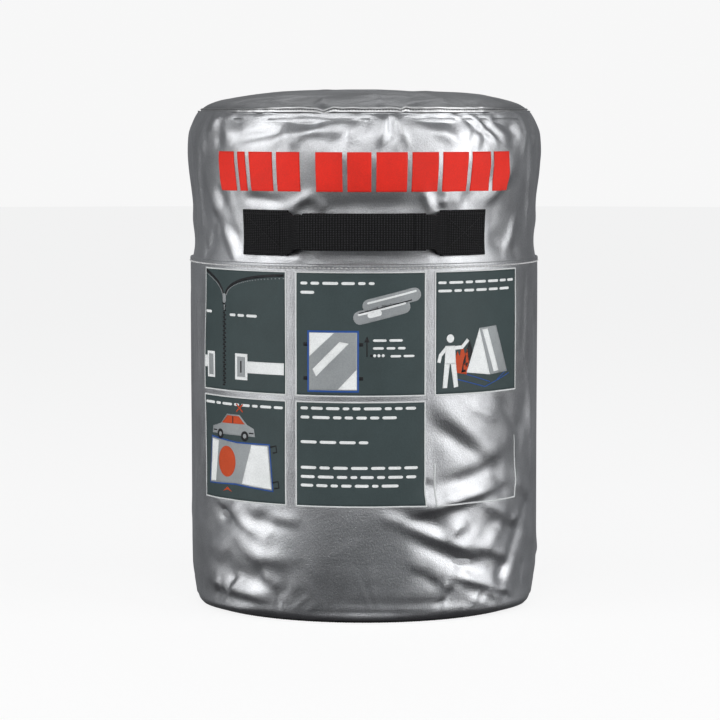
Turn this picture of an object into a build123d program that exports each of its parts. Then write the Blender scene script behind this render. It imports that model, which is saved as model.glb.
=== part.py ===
"""Large fire blanket, rolled up inside its round silver storage bag.

Millimetres, +Z up. The origin is the middle of the flat base, on the floor.
The printed front faces -Y. An azimuth is counted in degrees from the front,
positive towards +X, so 90 is the +X side and 180 is the back.
"""

from build123d import *
from math import cos, pi, radians, sin, sqrt
import os

os.makedirs("parts", exist_ok=True)

# ---- driving dimensions ----
SKIN = 1.5  # coated bag fabric, with its turned hems
LAP_STEP = 1.8  # the lower wall laps outside the upper one by this much
WALL_R = 198.0  # outside of the lower wall
BASE_R = 184.0  # where the rounded bottom corner meets the floor
BASE_CORNER_R, BASE_CORNER_Z = 196.0, 40.0
BASE_CORNER_MID = (192.4, 15.0)
FLARE_MID = (197.4, 63.0)
STRAIGHT_Z = 86.0  # the lower wall is a plain cylinder above this
BASE_T = 2.0
BASE_INSET = 5.5  # the binding's width, with its gap
BASE_GAP = 0.2
LAP_Z = 391.0  # top edge of the lower wall
LAP_DEPTH = 15.0
WAIST_R, WAIST_Z = 194.4, 426.0
BULGE_R, BULGE_Z = 200.8, 510.0
SHOULDER_Z = 554.5  # the top edge turns inwards here
BELOW_BULGE_R, BELOW_BULGE_Z = 196.4, WAIST_Z + 40
COLLAR_R, COLLAR_Z = 197.5, SHOULDER_Z - 12.5
ROUNDED_EDGE_MID = (194.6, SHOULDER_Z - 3.9)
LIP_R = 187.0  # the top edge runs level from here in to the mouth
MOUTH_R = 181.6
OPEN_R = 230.0  # well outside every wall
INSIDE_R = 150.0  # well inside them
SEAM_ARC, SEAM_T, SEAM_BOTTOM_Z = 8.0, 0.9, 24.0

LID_TOP_Z = 582.0
LID_EDGE_R, LID_EDGE_Z = 186.4, 565.4
RIM_BAND_T = 1.0
RIM_BAND_BOTTOM_Z = 557.2
HINGE_Y = 150.0  # the lid folds along a chord at the back
HINGE_GAP = 1.2

ZIP_R = 180.2
ZIP_ARC = 138.0  # the zip runs this far each way from the front
COIL_W, COIL_H = 2.0, 1.7
COIL_GAP = 1.6
COIL_MID_Z = 558.2
TAPE_T = 0.6
SLIDER_AZIMUTH = 131.0
SLIDER_ARC = 2.9

WEBBING = 50.0
WEBBING_T = 1.3
ANCHOR_MID_Z = 427.0
ANCHOR_INNER, ANCHOR_OUTER = 25.0, 42.8
GRIP_HEIGHT = 39.0
GRIP_HALF = 66.0
GRIP_BOW_R = 206.0
GRIP_FRONT_Y = -222.0
GRIP_WRAP_T = 6.4
LEG_FLEX = 18.0  # this much of each strap end bends when the handle swings

PRINT_T = 0.4
FRAME_W = 1.6
ROW_ZS = ((250.0, 386.0), (129.0, 245.0))
COLUMN_AZIMUTHS = ((-63.0, -25.3), (-22.2, 19.8), (22.7, 58.1))
TITLE_Z = (472.0, 515.0)
TITLE_SPAN = (-52.7, 52.7)
TITLE_GAP = 1.5
# relative widths of the plain upright marks that stand for two short words
TITLE_WORDS = ((7.6, 3.0, 8.3, 7.8), (8.2, 7.2, 9.4, 8.4, 8.6, 7.4, 7.6))
TITLE_WORD_GAP = 5.2

ROLL_BOTTOM, ROLL_TOP = 3.5, 535.0
ROLL_CORE_R = 20.0
FOLD_T = 11.0  # eleven layers of cloth, folded to the width of the roll
ROLL_PITCH = 11.6
ROLL_HALF_TURNS = 26
BINDING_T, BINDING_W = 0.3, 26.0
LOOP_WEBBING = 25.0
LOOP_LENGTH, LOOP_HEIGHT, LOOP_T = 96.0, 7.0, 1.3


def outwards(azimuth):
    """Unit vector that points away from the bag's axis at an azimuth."""
    turn = radians(azimuth)
    return Vector(sin(turn), -cos(turn), 0)


def radial_plane(azimuth):
    """Plane through the bag's axis: its x runs outwards and its y runs up."""
    out = outwards(azimuth)
    return Plane(origin=(0, 0, 0), x_dir=out, z_dir=out.cross(Vector(0, 0, 1)))


def save(part, name):
    """Label a finished piece and write its file."""
    part.part.label = name
    export_step(part.part, f"parts/{name}.step")


# ---- forms: half-sections, x outwards and y up ----
with BuildSketch() as lower_form:
    with BuildLine():
        Polyline((0, 0), (BASE_R, 0))
        ThreePointArc((BASE_R, 0), BASE_CORNER_MID, (BASE_CORNER_R, BASE_CORNER_Z))
        ThreePointArc((BASE_CORNER_R, BASE_CORNER_Z), FLARE_MID, (WALL_R, STRAIGHT_Z))
        Polyline((WALL_R, STRAIGHT_Z), (WALL_R, LAP_Z + LAP_DEPTH), (0, LAP_Z + LAP_DEPTH), (0, 0))
    make_face()

TUCKED_R = WALL_R - LAP_STEP
upper_bottom_z = LAP_Z - 2 * LAP_DEPTH
with BuildSketch() as upper_form:
    with BuildLine():
        Polyline((0, upper_bottom_z), (TUCKED_R, upper_bottom_z), (TUCKED_R, LAP_Z))
        ThreePointArc((TUCKED_R, LAP_Z), (WAIST_R, WAIST_Z), (BELOW_BULGE_R, BELOW_BULGE_Z))
        ThreePointArc((BELOW_BULGE_R, BELOW_BULGE_Z), (BULGE_R, BULGE_Z), (COLLAR_R, COLLAR_Z))
        ThreePointArc((COLLAR_R, COLLAR_Z), ROUNDED_EDGE_MID, (LIP_R, SHOULDER_Z))
        Polyline((LIP_R, SHOULDER_Z), (0, SHOULDER_Z), (0, upper_bottom_z))
    make_face()


def grown(form, amount):
    """A form, with its outline moved outwards by an amount."""
    with BuildSketch() as result:
        add(form.sketch_local)
        if amount:
            offset(amount=amount)
    return result.sketch_local


def layer(form, inner, outer, low, high):
    """Section of the layer between two offsets of a form, in a window with these corners."""
    with BuildSketch() as section:
        add(grown(form, outer))
        add(grown(form, inner), mode=Mode.SUBTRACT)
        with Locations(((low[0] + high[0]) / 2, (low[1] + high[1]) / 2)):
            Rectangle(high[0] - low[0], high[1] - low[1], mode=Mode.INTERSECT)
    return section.sketch_local


def block(inner_r, outer_r, low_z, high_z):
    """Plain rectangular section."""
    with BuildSketch() as section:
        with Locations(((inner_r + outer_r) / 2, (low_z + high_z) / 2)):
            Rectangle(outer_r - inner_r, high_z - low_z)
    return section.sketch_local


def sweep_round(section, start, sweep, mode=Mode.ADD):
    """Turn a section about the bag's axis, from one azimuth through an angle, into the part being built."""
    with BuildSketch(radial_plane(start)) as profile:
        add(section)
    revolve(profile.sketch, axis=Axis.Z, revolution_arc=sweep, mode=mode)


# ---- bag walls and base ----
with BuildPart() as lower_wall:
    wall_window = ((INSIDE_R, BASE_T + BASE_GAP), (OPEN_R, LAP_Z))
    sweep_round(layer(lower_form, -SKIN, 0, *wall_window), 0, 360)
save(lower_wall, "lower_wall")

with BuildPart() as upper_wall:
    wall_window = ((MOUTH_R, LAP_Z - LAP_DEPTH), (OPEN_R, LID_TOP_Z))
    sweep_round(layer(upper_form, -SKIN, 0, *wall_window), 0, 360)
save(upper_wall, "upper_wall")

with BuildPart() as base_panel:
    Cylinder(BASE_R - BASE_INSET, BASE_T, align=(Align.CENTER, Align.CENTER, Align.MIN))
save(base_panel, "base_panel")

with BuildPart() as base_binding:
    sweep_round(block(BASE_R - BASE_INSET + BASE_GAP, BASE_R - 3 * BASE_GAP, 0, BASE_T), 0, 360)
save(base_binding, "base_binding")

for name, form, low_z, high_z in (
    ("lower_back_seam", lower_form, SEAM_BOTTOM_Z, LAP_Z - 2 * SKIN),
    ("upper_back_seam", upper_form, LAP_Z + SKIN, COLLAR_Z - 2 * SKIN),
):
    with BuildPart() as back_seam:
        strip = layer(form, 0, SEAM_T, (INSIDE_R, low_z), (OPEN_R, high_z))
        sweep_round(strip, 180 - SEAM_ARC / 2, SEAM_ARC)
    save(back_seam, name)

# ---- lid, in two stretches of one panel: the small one behind the fold is sewn down ----
LID_PANEL_R = LID_EDGE_R - RIM_BAND_T - 0.2
LID_EDGE = (LID_PANEL_R, LID_EDGE_Z)
LID_EDGE_INSIDE = (LID_PANEL_R, LID_EDGE_Z - SKIN)
dome_r = (LID_PANEL_R**2 + (LID_TOP_Z - LID_EDGE_Z) ** 2) / 2 / (LID_TOP_Z - LID_EDGE_Z)
dome_mid = (LID_PANEL_R / 2, LID_TOP_Z - dome_r + sqrt(dome_r**2 - LID_PANEL_R**2 / 4))
with BuildSketch() as lid_section:
    with BuildLine():
        ThreePointArc(LID_EDGE, dome_mid, (0, LID_TOP_Z))
        Line((0, LID_TOP_Z), (0, LID_TOP_Z - SKIN))
        ThreePointArc((0, LID_TOP_Z - SKIN), (dome_mid[0], dome_mid[1] - SKIN), LID_EDGE_INSIDE)
        Line(LID_EDGE_INSIDE, LID_EDGE)
    make_face()
lid_skin = lid_section.sketch_local
band_skin = block(LID_EDGE_R - RIM_BAND_T, LID_EDGE_R, RIM_BAND_BOTTOM_Z, LID_EDGE_Z)
BAND_ARC = 142.4  # each end of the moving band, from the front
REAR_BAND_ARC = 145.0

with BuildPart() as lid_panel:
    sweep_round(lid_skin, 0, 360)
    split(bisect_by=Plane.XZ.offset(-(HINGE_Y - HINGE_GAP / 2)), keep=Keep.TOP)
save(lid_panel, "lid_panel")

with BuildPart() as lid_rear_panel:
    sweep_round(lid_skin, 0, 360)
    split(bisect_by=Plane.XZ.offset(-(HINGE_Y + HINGE_GAP / 2)), keep=Keep.BOTTOM)
save(lid_rear_panel, "lid_rear_panel")

with BuildPart() as lid_rim_band:
    sweep_round(band_skin, -BAND_ARC, 2 * BAND_ARC)
save(lid_rim_band, "lid_rim_band")

with BuildPart() as rear_rim_band:
    sweep_round(band_skin, REAR_BAND_ARC, 2 * (180 - REAR_BAND_ARC))
save(rear_rim_band, "rear_rim_band")

# ---- zip: two coils, each on its own tape ----
LOWER_COIL_TOP = COIL_MID_Z - COIL_GAP / 2
UPPER_COIL_BOTTOM = COIL_MID_Z + COIL_GAP / 2
TAPE_BOTTOM_Z = SHOULDER_Z - 16.5
TAPE_TOP_Z = LID_EDGE_Z - SKIN + 0.1
coil_reach = (ZIP_R - COIL_W / 2, ZIP_R + COIL_W / 2)
tape_reach = (ZIP_R - TAPE_T / 2, ZIP_R + TAPE_T / 2)
coil_sections = {
    "zip_coil_lower": block(*coil_reach, LOWER_COIL_TOP - COIL_H, LOWER_COIL_TOP),
    "zip_coil_upper": block(*coil_reach, UPPER_COIL_BOTTOM, UPPER_COIL_BOTTOM + COIL_H),
    "zip_tape_lower": block(*tape_reach, TAPE_BOTTOM_Z, LOWER_COIL_TOP - COIL_H),
    "zip_tape_upper": block(*tape_reach, UPPER_COIL_BOTTOM + COIL_H, TAPE_TOP_Z),
}
for name, section in coil_sections.items():
    with BuildPart() as zip_strip:
        sweep_round(section, -ZIP_ARC, 2 * ZIP_ARC)
    save(zip_strip, name)

STOP_ARC, STOP_GAP = 1.3, 0.1
stop_section = block(ZIP_R - 1.6, ZIP_R + 1.3, SHOULDER_Z + 0.2, LOWER_COIL_TOP)
with BuildPart() as zip_stops:
    sweep_round(stop_section, -ZIP_ARC - STOP_GAP - STOP_ARC, STOP_ARC)
    sweep_round(stop_section, ZIP_ARC + STOP_GAP, STOP_ARC)
save(zip_stops, "zip_stops")

# slider: two plates either side of the coils, joined by a thin wedge between them, and a
# bail on a neck that passes under the rim band
PLATE_Z = (SHOULDER_Z + 0.4, SHOULDER_Z + 7.1)
OUTER_PLATE_R, INNER_PLATE_R = (181.6, 182.9), (176.6, 177.8)
WEDGE_Z = (COIL_MID_Z - 0.4, COIL_MID_Z + 0.4)
NECK_Z = (PLATE_Z[0], PLATE_Z[0] + 1.7)
BAIL_R, BAIL_Z = (187.7, 190.9), (PLATE_Z[0], PLATE_Z[0] + 5)
PIN_AT_R, PIN_AT_Z = 189.3, PLATE_Z[0] + 3.3
PIN_R, PIN_PLAY = 0.8, 0.08
WEDGE_ARC, NECK_ARC = 1.0, 0.9
with BuildPart() as zip_slider:
    for plate_r in (OUTER_PLATE_R, INNER_PLATE_R):
        sweep_round(block(*plate_r, *PLATE_Z), SLIDER_AZIMUTH - SLIDER_ARC / 2, SLIDER_ARC)
    wedge = block(INNER_PLATE_R[0], OUTER_PLATE_R[1], *WEDGE_Z)
    sweep_round(wedge, SLIDER_AZIMUTH - WEDGE_ARC / 2, WEDGE_ARC)
    for section in (block(OUTER_PLATE_R[0], BAIL_R[1], *NECK_Z), block(*BAIL_R, *BAIL_Z)):
        sweep_round(section, SLIDER_AZIMUTH - NECK_ARC / 2, NECK_ARC)
    with BuildSketch(radial_plane(SLIDER_AZIMUTH)):
        with Locations((PIN_AT_R, PIN_AT_Z)):
            Circle(PIN_R + PIN_PLAY)
    extrude(amount=2 * (BAIL_R[1] - BAIL_R[0]), both=True, mode=Mode.SUBTRACT)
save(zip_slider, "zip_slider")

# pull: a metal link that hangs from the bail on its cross pin, with a moulded grip at its end
PULL_SLOPE = -46.0
LINK_T = 1.4
ARM_OFFSET, ARM_W = 2.7, 1.6
ARM_MID, ARM_LENGTH = 5.0, 12.0
RING_MID, RING_LENGTH = 15.0, 12.0
GRIP_START, GRIP_LENGTH, GRIP_W, GRIP_T = 14.0, 25.0, 9.0, 4.4
GRIP_ROUND = 1.3
pull_out = outwards(SLIDER_AZIMUTH)
pull_along = pull_out * cos(radians(PULL_SLOPE)) + Vector(0, 0, sin(radians(PULL_SLOPE)))
pull_face = pull_out * -sin(radians(PULL_SLOPE)) + Vector(0, 0, cos(radians(PULL_SLOPE)))
pin_at = pull_out * PIN_AT_R + Vector(0, 0, PIN_AT_Z)
link_plane = Plane(origin=pin_at, x_dir=pull_along, z_dir=pull_face)
with BuildPart() as zip_pull_link:
    with BuildSketch(link_plane):
        with Locations((ARM_MID, ARM_OFFSET), (ARM_MID, -ARM_OFFSET)):
            Rectangle(ARM_LENGTH, ARM_W)
        with Locations((RING_MID, 0)):
            SlotOverall(RING_LENGTH, 2 * ARM_OFFSET + ARM_W)
    extrude(amount=LINK_T / 2, both=True)
    with BuildSketch(radial_plane(SLIDER_AZIMUTH)):
        with Locations((PIN_AT_R, PIN_AT_Z)):
            Circle(PIN_R)
    extrude(amount=ARM_OFFSET, both=True)
save(zip_pull_link, "zip_pull_link")

with BuildPart() as zip_pull_grip:
    with BuildSketch(link_plane):
        with Locations((GRIP_START + GRIP_LENGTH / 2, 0)):
            SlotOverall(GRIP_LENGTH, GRIP_W)
    extrude(amount=GRIP_T / 2, both=True)
    grip_faces = zip_pull_grip.faces().filter_by(Axis(pin_at, pull_face))
    fillet(grip_faces.edges(), GRIP_ROUND)
    add(zip_pull_link.part, mode=Mode.SUBTRACT)
save(zip_pull_grip, "zip_pull_grip")

# a folded tab past each end of the zip, behind the moving rim band's ends
TAB_START, TAB_ARC, TAB_T = 142.8, 2.6, 5.0
tab_outer_r = ZIP_R + TAPE_T
tab_section = block(tab_outer_r - TAB_T, tab_outer_r, COLLAR_Z, LID_EDGE_Z - SKIN - 0.7)
with BuildPart() as zip_end_tabs:
    sweep_round(tab_section, -TAB_START - TAB_ARC, TAB_ARC)
    sweep_round(tab_section, TAB_START, TAB_ARC)
save(zip_end_tabs, "zip_end_tabs")

# ---- carry handle: webbing sewn down at both ends, standing clear of the wall between them ----
ANCHOR_T = 2 * WEBBING_T
ANCHOR_WINDOW = (
    (INSIDE_R, ANCHOR_MID_Z - WEBBING / 2),
    (OPEN_R, ANCHOR_MID_Z + WEBBING / 2),
)
anchor_arc = ANCHOR_OUTER - ANCHOR_INNER
for name, start in (("handle_anchor_left", -ANCHOR_OUTER), ("handle_anchor_right", ANCHOR_INNER)):
    with BuildPart() as anchor:
        sweep_round(layer(upper_form, 0, ANCHOR_T, *ANCHOR_WINDOW), start, anchor_arc)
    save(anchor, name)

BACKING_T, BACKING_MARGIN = 1.0, 2.0
with BuildPart() as handle_backing:
    for start in (-ANCHOR_OUTER, ANCHOR_INNER):
        backing = layer(upper_form, -SKIN - BACKING_T, -SKIN, *ANCHOR_WINDOW)
        sweep_round(backing, start - BACKING_MARGIN, anchor_arc + 2 * BACKING_MARGIN)
save(handle_backing, "handle_backing")

bow_centre_y = GRIP_FRONT_Y + GRIP_BOW_R
LEG_TOP_X = 72.0
LEG_FOOT_GAP = 0.6  # degrees from the anchor's edge to the middle of the strap
SPLIT_GAP = 0.03  # share of the bending length left between its end and the swinging strap
leg_top = Vector(LEG_TOP_X, bow_centre_y - sqrt(GRIP_BOW_R**2 - LEG_TOP_X**2))
leg_foot = outwards(ANCHOR_INNER - LEG_FOOT_GAP) * (WAIST_R + ANCHOR_T * 1.1)
leg_split = leg_foot + (leg_top - leg_foot) * (LEG_FLEX / abs(leg_top.Y - leg_foot.Y))
flex_end = leg_foot + (leg_split - leg_foot) * (1 - SPLIT_GAP)
strap_bottom_z = ANCHOR_MID_Z - GRIP_HEIGHT / 2
WRAP_OVERLAP = 1.0  # the wrap stands past the strap's edges by this much


def mirrored(point, side):
    """A point of the right half of the handle's plan, on either side."""
    return (side * point.X, point.Y)


with BuildPart() as handle_strap:
    with BuildSketch(Plane.XY.offset(strap_bottom_z)):
        with BuildLine():
            Line(mirrored(leg_split, -1), mirrored(leg_top, -1))
            ThreePointArc(mirrored(leg_top, -1), (0, GRIP_FRONT_Y), mirrored(leg_top, 1))
            Line(mirrored(leg_top, 1), mirrored(leg_split, 1))
        trace(line_width=ANCHOR_T)
    extrude(amount=GRIP_HEIGHT)
save(handle_strap, "handle_strap")

with BuildPart() as handle_strap_ends:
    with BuildSketch(Plane.XY.offset(strap_bottom_z)):
        for side in (-1, 1):
            with BuildLine():
                Line(mirrored(leg_foot, side), mirrored(flex_end, side))
            trace(line_width=ANCHOR_T)
    extrude(amount=GRIP_HEIGHT)
save(handle_strap_ends, "handle_strap_ends")

with BuildPart() as handle_grip_wrap:
    with BuildSketch(Plane.XY.offset(strap_bottom_z - WRAP_OVERLAP)):
        with BuildLine():
            wrap_end = Vector(GRIP_HALF, bow_centre_y - sqrt(GRIP_BOW_R**2 - GRIP_HALF**2))
            ThreePointArc(mirrored(wrap_end, -1), (0, GRIP_FRONT_Y), mirrored(wrap_end, 1))
        trace(line_width=GRIP_WRAP_T)
    extrude(amount=GRIP_HEIGHT + 2 * WRAP_OVERLAP)
    add(handle_strap.part, mode=Mode.SUBTRACT)
save(handle_grip_wrap, "handle_grip_wrap")


# ---- printed marks: thin skins on the walls ----
def degrees_on_wall(length):
    """Angle that a length along the lower wall spans."""
    return length / WALL_R * 180 / pi


def wall_patch(low_z, high_z, start, end):
    """Thin skin on the lower wall between two heights and two azimuths."""
    sweep_round(block(WALL_R, WALL_R + PRINT_T, low_z, high_z), start, end - start)


frame_arc = degrees_on_wall(FRAME_W)
windows = [(*row, *column) for row in ROW_ZS for column in COLUMN_AZIMUTHS]
last_window = windows.pop()
for number, (low_z, high_z, start, end) in enumerate(windows, 1):
    with BuildPart() as instruction_panel:
        wall_patch(low_z + FRAME_W, high_z - FRAME_W, start + frame_arc, end - frame_arc)
    save(instruction_panel, f"instruction_panel_{number}")

with BuildPart() as panel_frames:
    for low_z, high_z, start, end in windows:
        wall_patch(low_z, low_z + FRAME_W, start, end)
        wall_patch(high_z - FRAME_W, high_z, start, end)
        wall_patch(low_z, high_z, start, start + frame_arc)
        wall_patch(low_z, high_z, end - frame_arc, end)
save(panel_frames, "panel_frames")

# the sixth window is an open outline: its two sides fade out part of the way up
LEFT_RISE, RIGHT_RISE = 46.0, 70.0
with BuildPart() as open_frame:
    low_z, high_z, start, end = last_window
    wall_patch(low_z, low_z + FRAME_W, start, end)
    wall_patch(low_z, low_z + LEFT_RISE, start, start + frame_arc)
    wall_patch(low_z, low_z + RIGHT_RISE, end - frame_arc, end)
save(open_frame, "open_frame")

title_section = layer(upper_form, 0, PRINT_T, (INSIDE_R, TITLE_Z[0]), (OPEN_R, TITLE_Z[1]))
marks = [width for word in TITLE_WORDS for width in word]
title_room = TITLE_SPAN[1] - TITLE_SPAN[0] - TITLE_WORD_GAP - (len(marks) - 2) * TITLE_GAP
mark_scale = title_room / sum(marks)
with BuildPart() as title_print:
    start = TITLE_SPAN[0]
    for word in TITLE_WORDS:
        for width in word:
            sweep_round(title_section, start, width * mark_scale)
            start += width * mark_scale + TITLE_GAP
        start += TITLE_WORD_GAP - TITLE_GAP
save(title_print, "title_print")

# ---- contents: the blanket, folded lengthwise and rolled up ----
half_pitch = ROLL_PITCH / 2
# the spiral starts here, which brings the middle of its outer turn to the bag's axis
roll_middle = (-half_pitch, half_pitch / 2)


def roll_face(inner, outer):
    """Spiral strip between two offsets from the roll's surface, as half circles about two centres."""
    radii = [ROLL_CORE_R + FOLD_T + step * half_pitch for step in range(ROLL_HALF_TURNS)]
    with BuildSketch() as face:
        with BuildLine():
            for amount in (inner, outer):
                for step, radius in enumerate(radii):
                    middle = half_pitch * (step % 2)
                    side = 1 - 2 * (step % 2)
                    reach = radius + amount
                    start = (middle + side * reach, 0)
                    end = (middle - side * reach, 0)
                    ThreePointArc(start, (middle, side * reach), end)
            Line((radii[0] + inner, 0), (radii[0] + outer, 0))
            last_middle = half_pitch * ((ROLL_HALF_TURNS - 1) % 2)
            Line((last_middle + radii[-1] + inner, 0), (last_middle + radii[-1] + outer, 0))
        make_face()
    return face.sketch_local


with BuildPart() as blanket_roll:
    with BuildSketch(Plane((*roll_middle, ROLL_BOTTOM))):
        add(roll_face(-FOLD_T, 0))
    extrude(amount=ROLL_TOP - ROLL_BOTTOM)
save(blanket_roll, "blanket_roll")

with BuildPart() as blanket_edge_binding:
    with BuildSketch(Plane((*roll_middle, ROLL_TOP - BINDING_W))):
        add(roll_face(BINDING_T / 2, BINDING_T * 1.5))
    extrude(amount=BINDING_W)
save(blanket_edge_binding, "blanket_edge_binding")

# four webbing loops at the blanket's corners: two at its outer end and two at its core
LOOP_PLACES = ((20.0, 118.0), (200.0, 118.0), (110.0, 56.0), (290.0, 56.0))
LOOP_GAP = 0.3
with BuildPart() as blanket_pull_loops:
    for azimuth, radius in LOOP_PLACES:
        out = outwards(azimuth)
        along = Plane(
            origin=out * radius + Vector(0, 0, ROLL_TOP + LOOP_GAP + LOOP_HEIGHT / 2),
            x_dir=out,
            z_dir=out.cross(Vector(0, 0, 1)),
        )
        with BuildSketch(along):
            SlotOverall(LOOP_LENGTH, LOOP_HEIGHT)
            SlotOverall(LOOP_LENGTH - 2 * LOOP_T, LOOP_HEIGHT - 2 * LOOP_T, mode=Mode.SUBTRACT)
        extrude(amount=LOOP_WEBBING / 2, both=True)
save(blanket_pull_loops, "blanket_pull_loops")

turn_lengths = [pi * (ROLL_CORE_R + FOLD_T / 2 + step * half_pitch) for step in range(ROLL_HALF_TURNS)]
strip_length = sum(turn_lengths)
print(f"folded blanket strip: {strip_length:.0f} mm long, {ROLL_TOP - ROLL_BOTTOM:.0f} mm wide")
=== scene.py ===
"""Looks of the fire blanket in its silver storage bag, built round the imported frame.

Surfaces are drawn in millimetres from the frame's own sizes and turned into metres at the end.
An azimuth is counted in degrees from the printed front (-Y), positive towards +X.
A mesh is handed on as (verts, faces) or (verts, faces, uv) until it becomes a piece.
"""

import math

import bmesh
import bpy
import numpy as np
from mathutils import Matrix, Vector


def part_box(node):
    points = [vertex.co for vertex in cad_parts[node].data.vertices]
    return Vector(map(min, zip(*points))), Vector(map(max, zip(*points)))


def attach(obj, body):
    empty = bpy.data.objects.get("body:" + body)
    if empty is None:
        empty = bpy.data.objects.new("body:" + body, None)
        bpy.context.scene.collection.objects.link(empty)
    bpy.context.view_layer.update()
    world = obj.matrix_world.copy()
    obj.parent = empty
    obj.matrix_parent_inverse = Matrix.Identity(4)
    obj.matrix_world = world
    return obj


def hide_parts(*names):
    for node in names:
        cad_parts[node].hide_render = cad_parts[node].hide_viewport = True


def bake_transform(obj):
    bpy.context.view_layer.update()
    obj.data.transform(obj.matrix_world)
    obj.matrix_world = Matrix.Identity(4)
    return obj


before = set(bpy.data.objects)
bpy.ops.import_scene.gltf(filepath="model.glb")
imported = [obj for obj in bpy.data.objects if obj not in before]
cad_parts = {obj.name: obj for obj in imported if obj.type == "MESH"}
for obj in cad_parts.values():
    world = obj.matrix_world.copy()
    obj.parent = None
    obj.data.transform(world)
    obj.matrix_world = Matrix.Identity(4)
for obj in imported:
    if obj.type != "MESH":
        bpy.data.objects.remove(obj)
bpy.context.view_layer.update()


# ---- sizes, from the frame ----
def heights(node):
    """The lowest and the highest z of a CAD node."""
    low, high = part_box(node)
    return low[2] * 1000, high[2] * 1000


def reach(node):
    """How far a CAD node reaches towards +X."""
    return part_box(node)[1][0] * 1000


WALL_R = reach("lower_wall")
LAP_Z = heights("lower_wall")[1]
SEAM_Z = LAP_Z - 1.4  # the stitches of the lap
SHOULDER_Z = heights("upper_wall")[1]
LID_TOP_Z = heights("lid_panel")[1]
LID_EDGE_Z = heights("lid_rim_band")[1]
ANCHOR_LOW, ANCHOR_HIGH = heights("handle_anchor_left")
ANCHOR_MID = (ANCHOR_LOW + ANCHOR_HIGH) / 2
GRIP_LOW, GRIP_HIGH = heights("handle_strap")
ROLL_LOW, ROLL_HIGH = heights("blanket_roll")
BASE_R = reach("base_binding") + 0.6
FOLD_Y = 150.0
ZIP_R, ZIP_ARC, ZIP_LENGTH = 180.2, 138.0, 0.868
ANCHOR_INNER, ANCHOR_OUTER = 25.0, 42.8
PANEL_ROWS = ((250.0, 386.0), (129.0, 245.0))
PANEL_COLUMNS = ((-63.0, -25.3), (-22.2, 19.8), (22.7, 58.1))
MM_PER_DEG = WALL_R * math.pi / 180


# ---- numbers and curves ----
def smoothstep(x, low, high):
    """Rises from 0 to 1 between two limits."""
    t = np.clip((x - low) / (high - low), 0, 1)
    return t * t * (3 - 2 * t)


def hump(x, middle, width, power=2):
    """A bell of height 1; a higher power gives it a flatter top and steeper sides."""
    return np.exp(-(np.abs((x - middle) / width) ** power))


def bent(x, power):
    """A power that keeps the sign, which squares off a circle's sine and cosine."""
    return np.sign(x) * abs(x) ** power


def unit(vectors):
    return vectors / np.linalg.norm(vectors, axis=-1, keepdims=True)


def run_along(path):
    """The distance along a path at each of its points."""
    return np.concatenate([[0], np.cumsum(np.linalg.norm(np.diff(path, axis=0), axis=1))])


def smooth_path(points, step):
    """Points at an even spacing along a smooth curve through the given ones (Catmull-Rom)."""
    p = np.array(points, float)
    p = np.vstack([2 * p[0] - p[1], p, 2 * p[-1] - p[-2]])
    dense = []
    for i in range(1, len(p) - 2):
        a, b, c, d = p[i - 1:i + 3]
        t = np.linspace(0, 1, max(int(np.linalg.norm(c - b) * 2), 4), endpoint=False)[:, None]
        curve_part = 2 * b + (c - a) * t + (2 * a - 5 * b + 4 * c - d) * t**2 + (3 * b - a - 3 * c + d) * t**3
        dense.append(0.5 * curve_part)
    dense = np.vstack([*dense, p[-2]])
    run = run_along(dense)
    even = np.linspace(0, run[-1], int(run[-1] / step) + 1)
    return np.stack([np.interp(even, run, dense[:, k]) for k in (0, 1)], axis=1)


def around(azimuth, radius, z):
    """Points from azimuths, radii and heights; a radius of 1 at z 0 gives the outward direction."""
    turn = np.radians(azimuth)
    return np.stack(np.broadcast_arrays(np.sin(turn) * radius, -np.cos(turn) * radius, z), axis=-1)


def from_front(azimuth):
    """Degrees away from the front, on either side."""
    return np.abs((azimuth + 180) % 360 - 180)


# ---- meshes ----
def grid_faces(rows, cols, wrap_rows=False, wrap_cols=False, flip=False):
    """Quads of a grid whose vertices run along each row first."""
    r = np.arange(rows if wrap_rows else rows - 1)
    c = np.arange(cols if wrap_cols else cols - 1)
    rr, cc = np.meshgrid(r, c, indexing="ij")
    r2, c2 = (rr + 1) % rows, (cc + 1) % cols
    quads = np.stack([rr * cols + cc, rr * cols + c2, r2 * cols + c2, r2 * cols + cc], axis=-1).reshape(-1, 4)
    return quads[:, ::-1] if flip else quads


def swept(rings, flip=False, closed=False):
    """(verts, faces) of a skin over rings of points, its two ends filled unless it closes on itself."""
    count, sides = rings.shape[:2]
    faces = grid_faces(count, sides, wrap_rows=closed, wrap_cols=True, flip=flip).tolist()
    if not closed:
        first = list(range(sides))
        last = [(count - 1) * sides + k for k in first]
        faces += [first, last[::-1]] if flip else [first[::-1], last]
    return rings.reshape(-1, 3), faces


def disc_skin(rings, middles, flip=False):
    """A closed disc whose rings run from the middle of one side out to the edge and back on the other."""
    cols = rings.shape[1]
    near, last = len(rings) * cols, (len(rings) - 1) * cols
    pairs = [(k, (k + 1) % cols) for k in range(cols)]
    faces = grid_faces(len(rings), cols, wrap_cols=True).tolist()
    faces += [[near, b, a] for a, b in pairs]
    faces += [[near + 1, last + a, last + b] for a, b in pairs]
    verts = np.concatenate([rings.reshape(-1, 3), middles])
    return verts, [face[::-1] for face in faces] if flip else faces, verts[:, :2]


def joined(parts):
    """Several meshes in one."""
    faces, count = [], 0
    for part in parts:
        faces += [[int(i) + count for i in face] for face in part[1]]
        count += len(part[0])
    verts, *uv = (np.concatenate(same) for same in zip(*(part[::2] for part in parts)))
    return (verts, faces, *uv)


def wall_uv(verts):
    """The way round the bag and the height, as on a wall laid out flat."""
    turn = np.degrees(np.arctan2(verts[:, 0], -verts[:, 1]))
    return np.stack([turn * MM_PER_DEG, verts[:, 2]], axis=-1)


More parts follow.
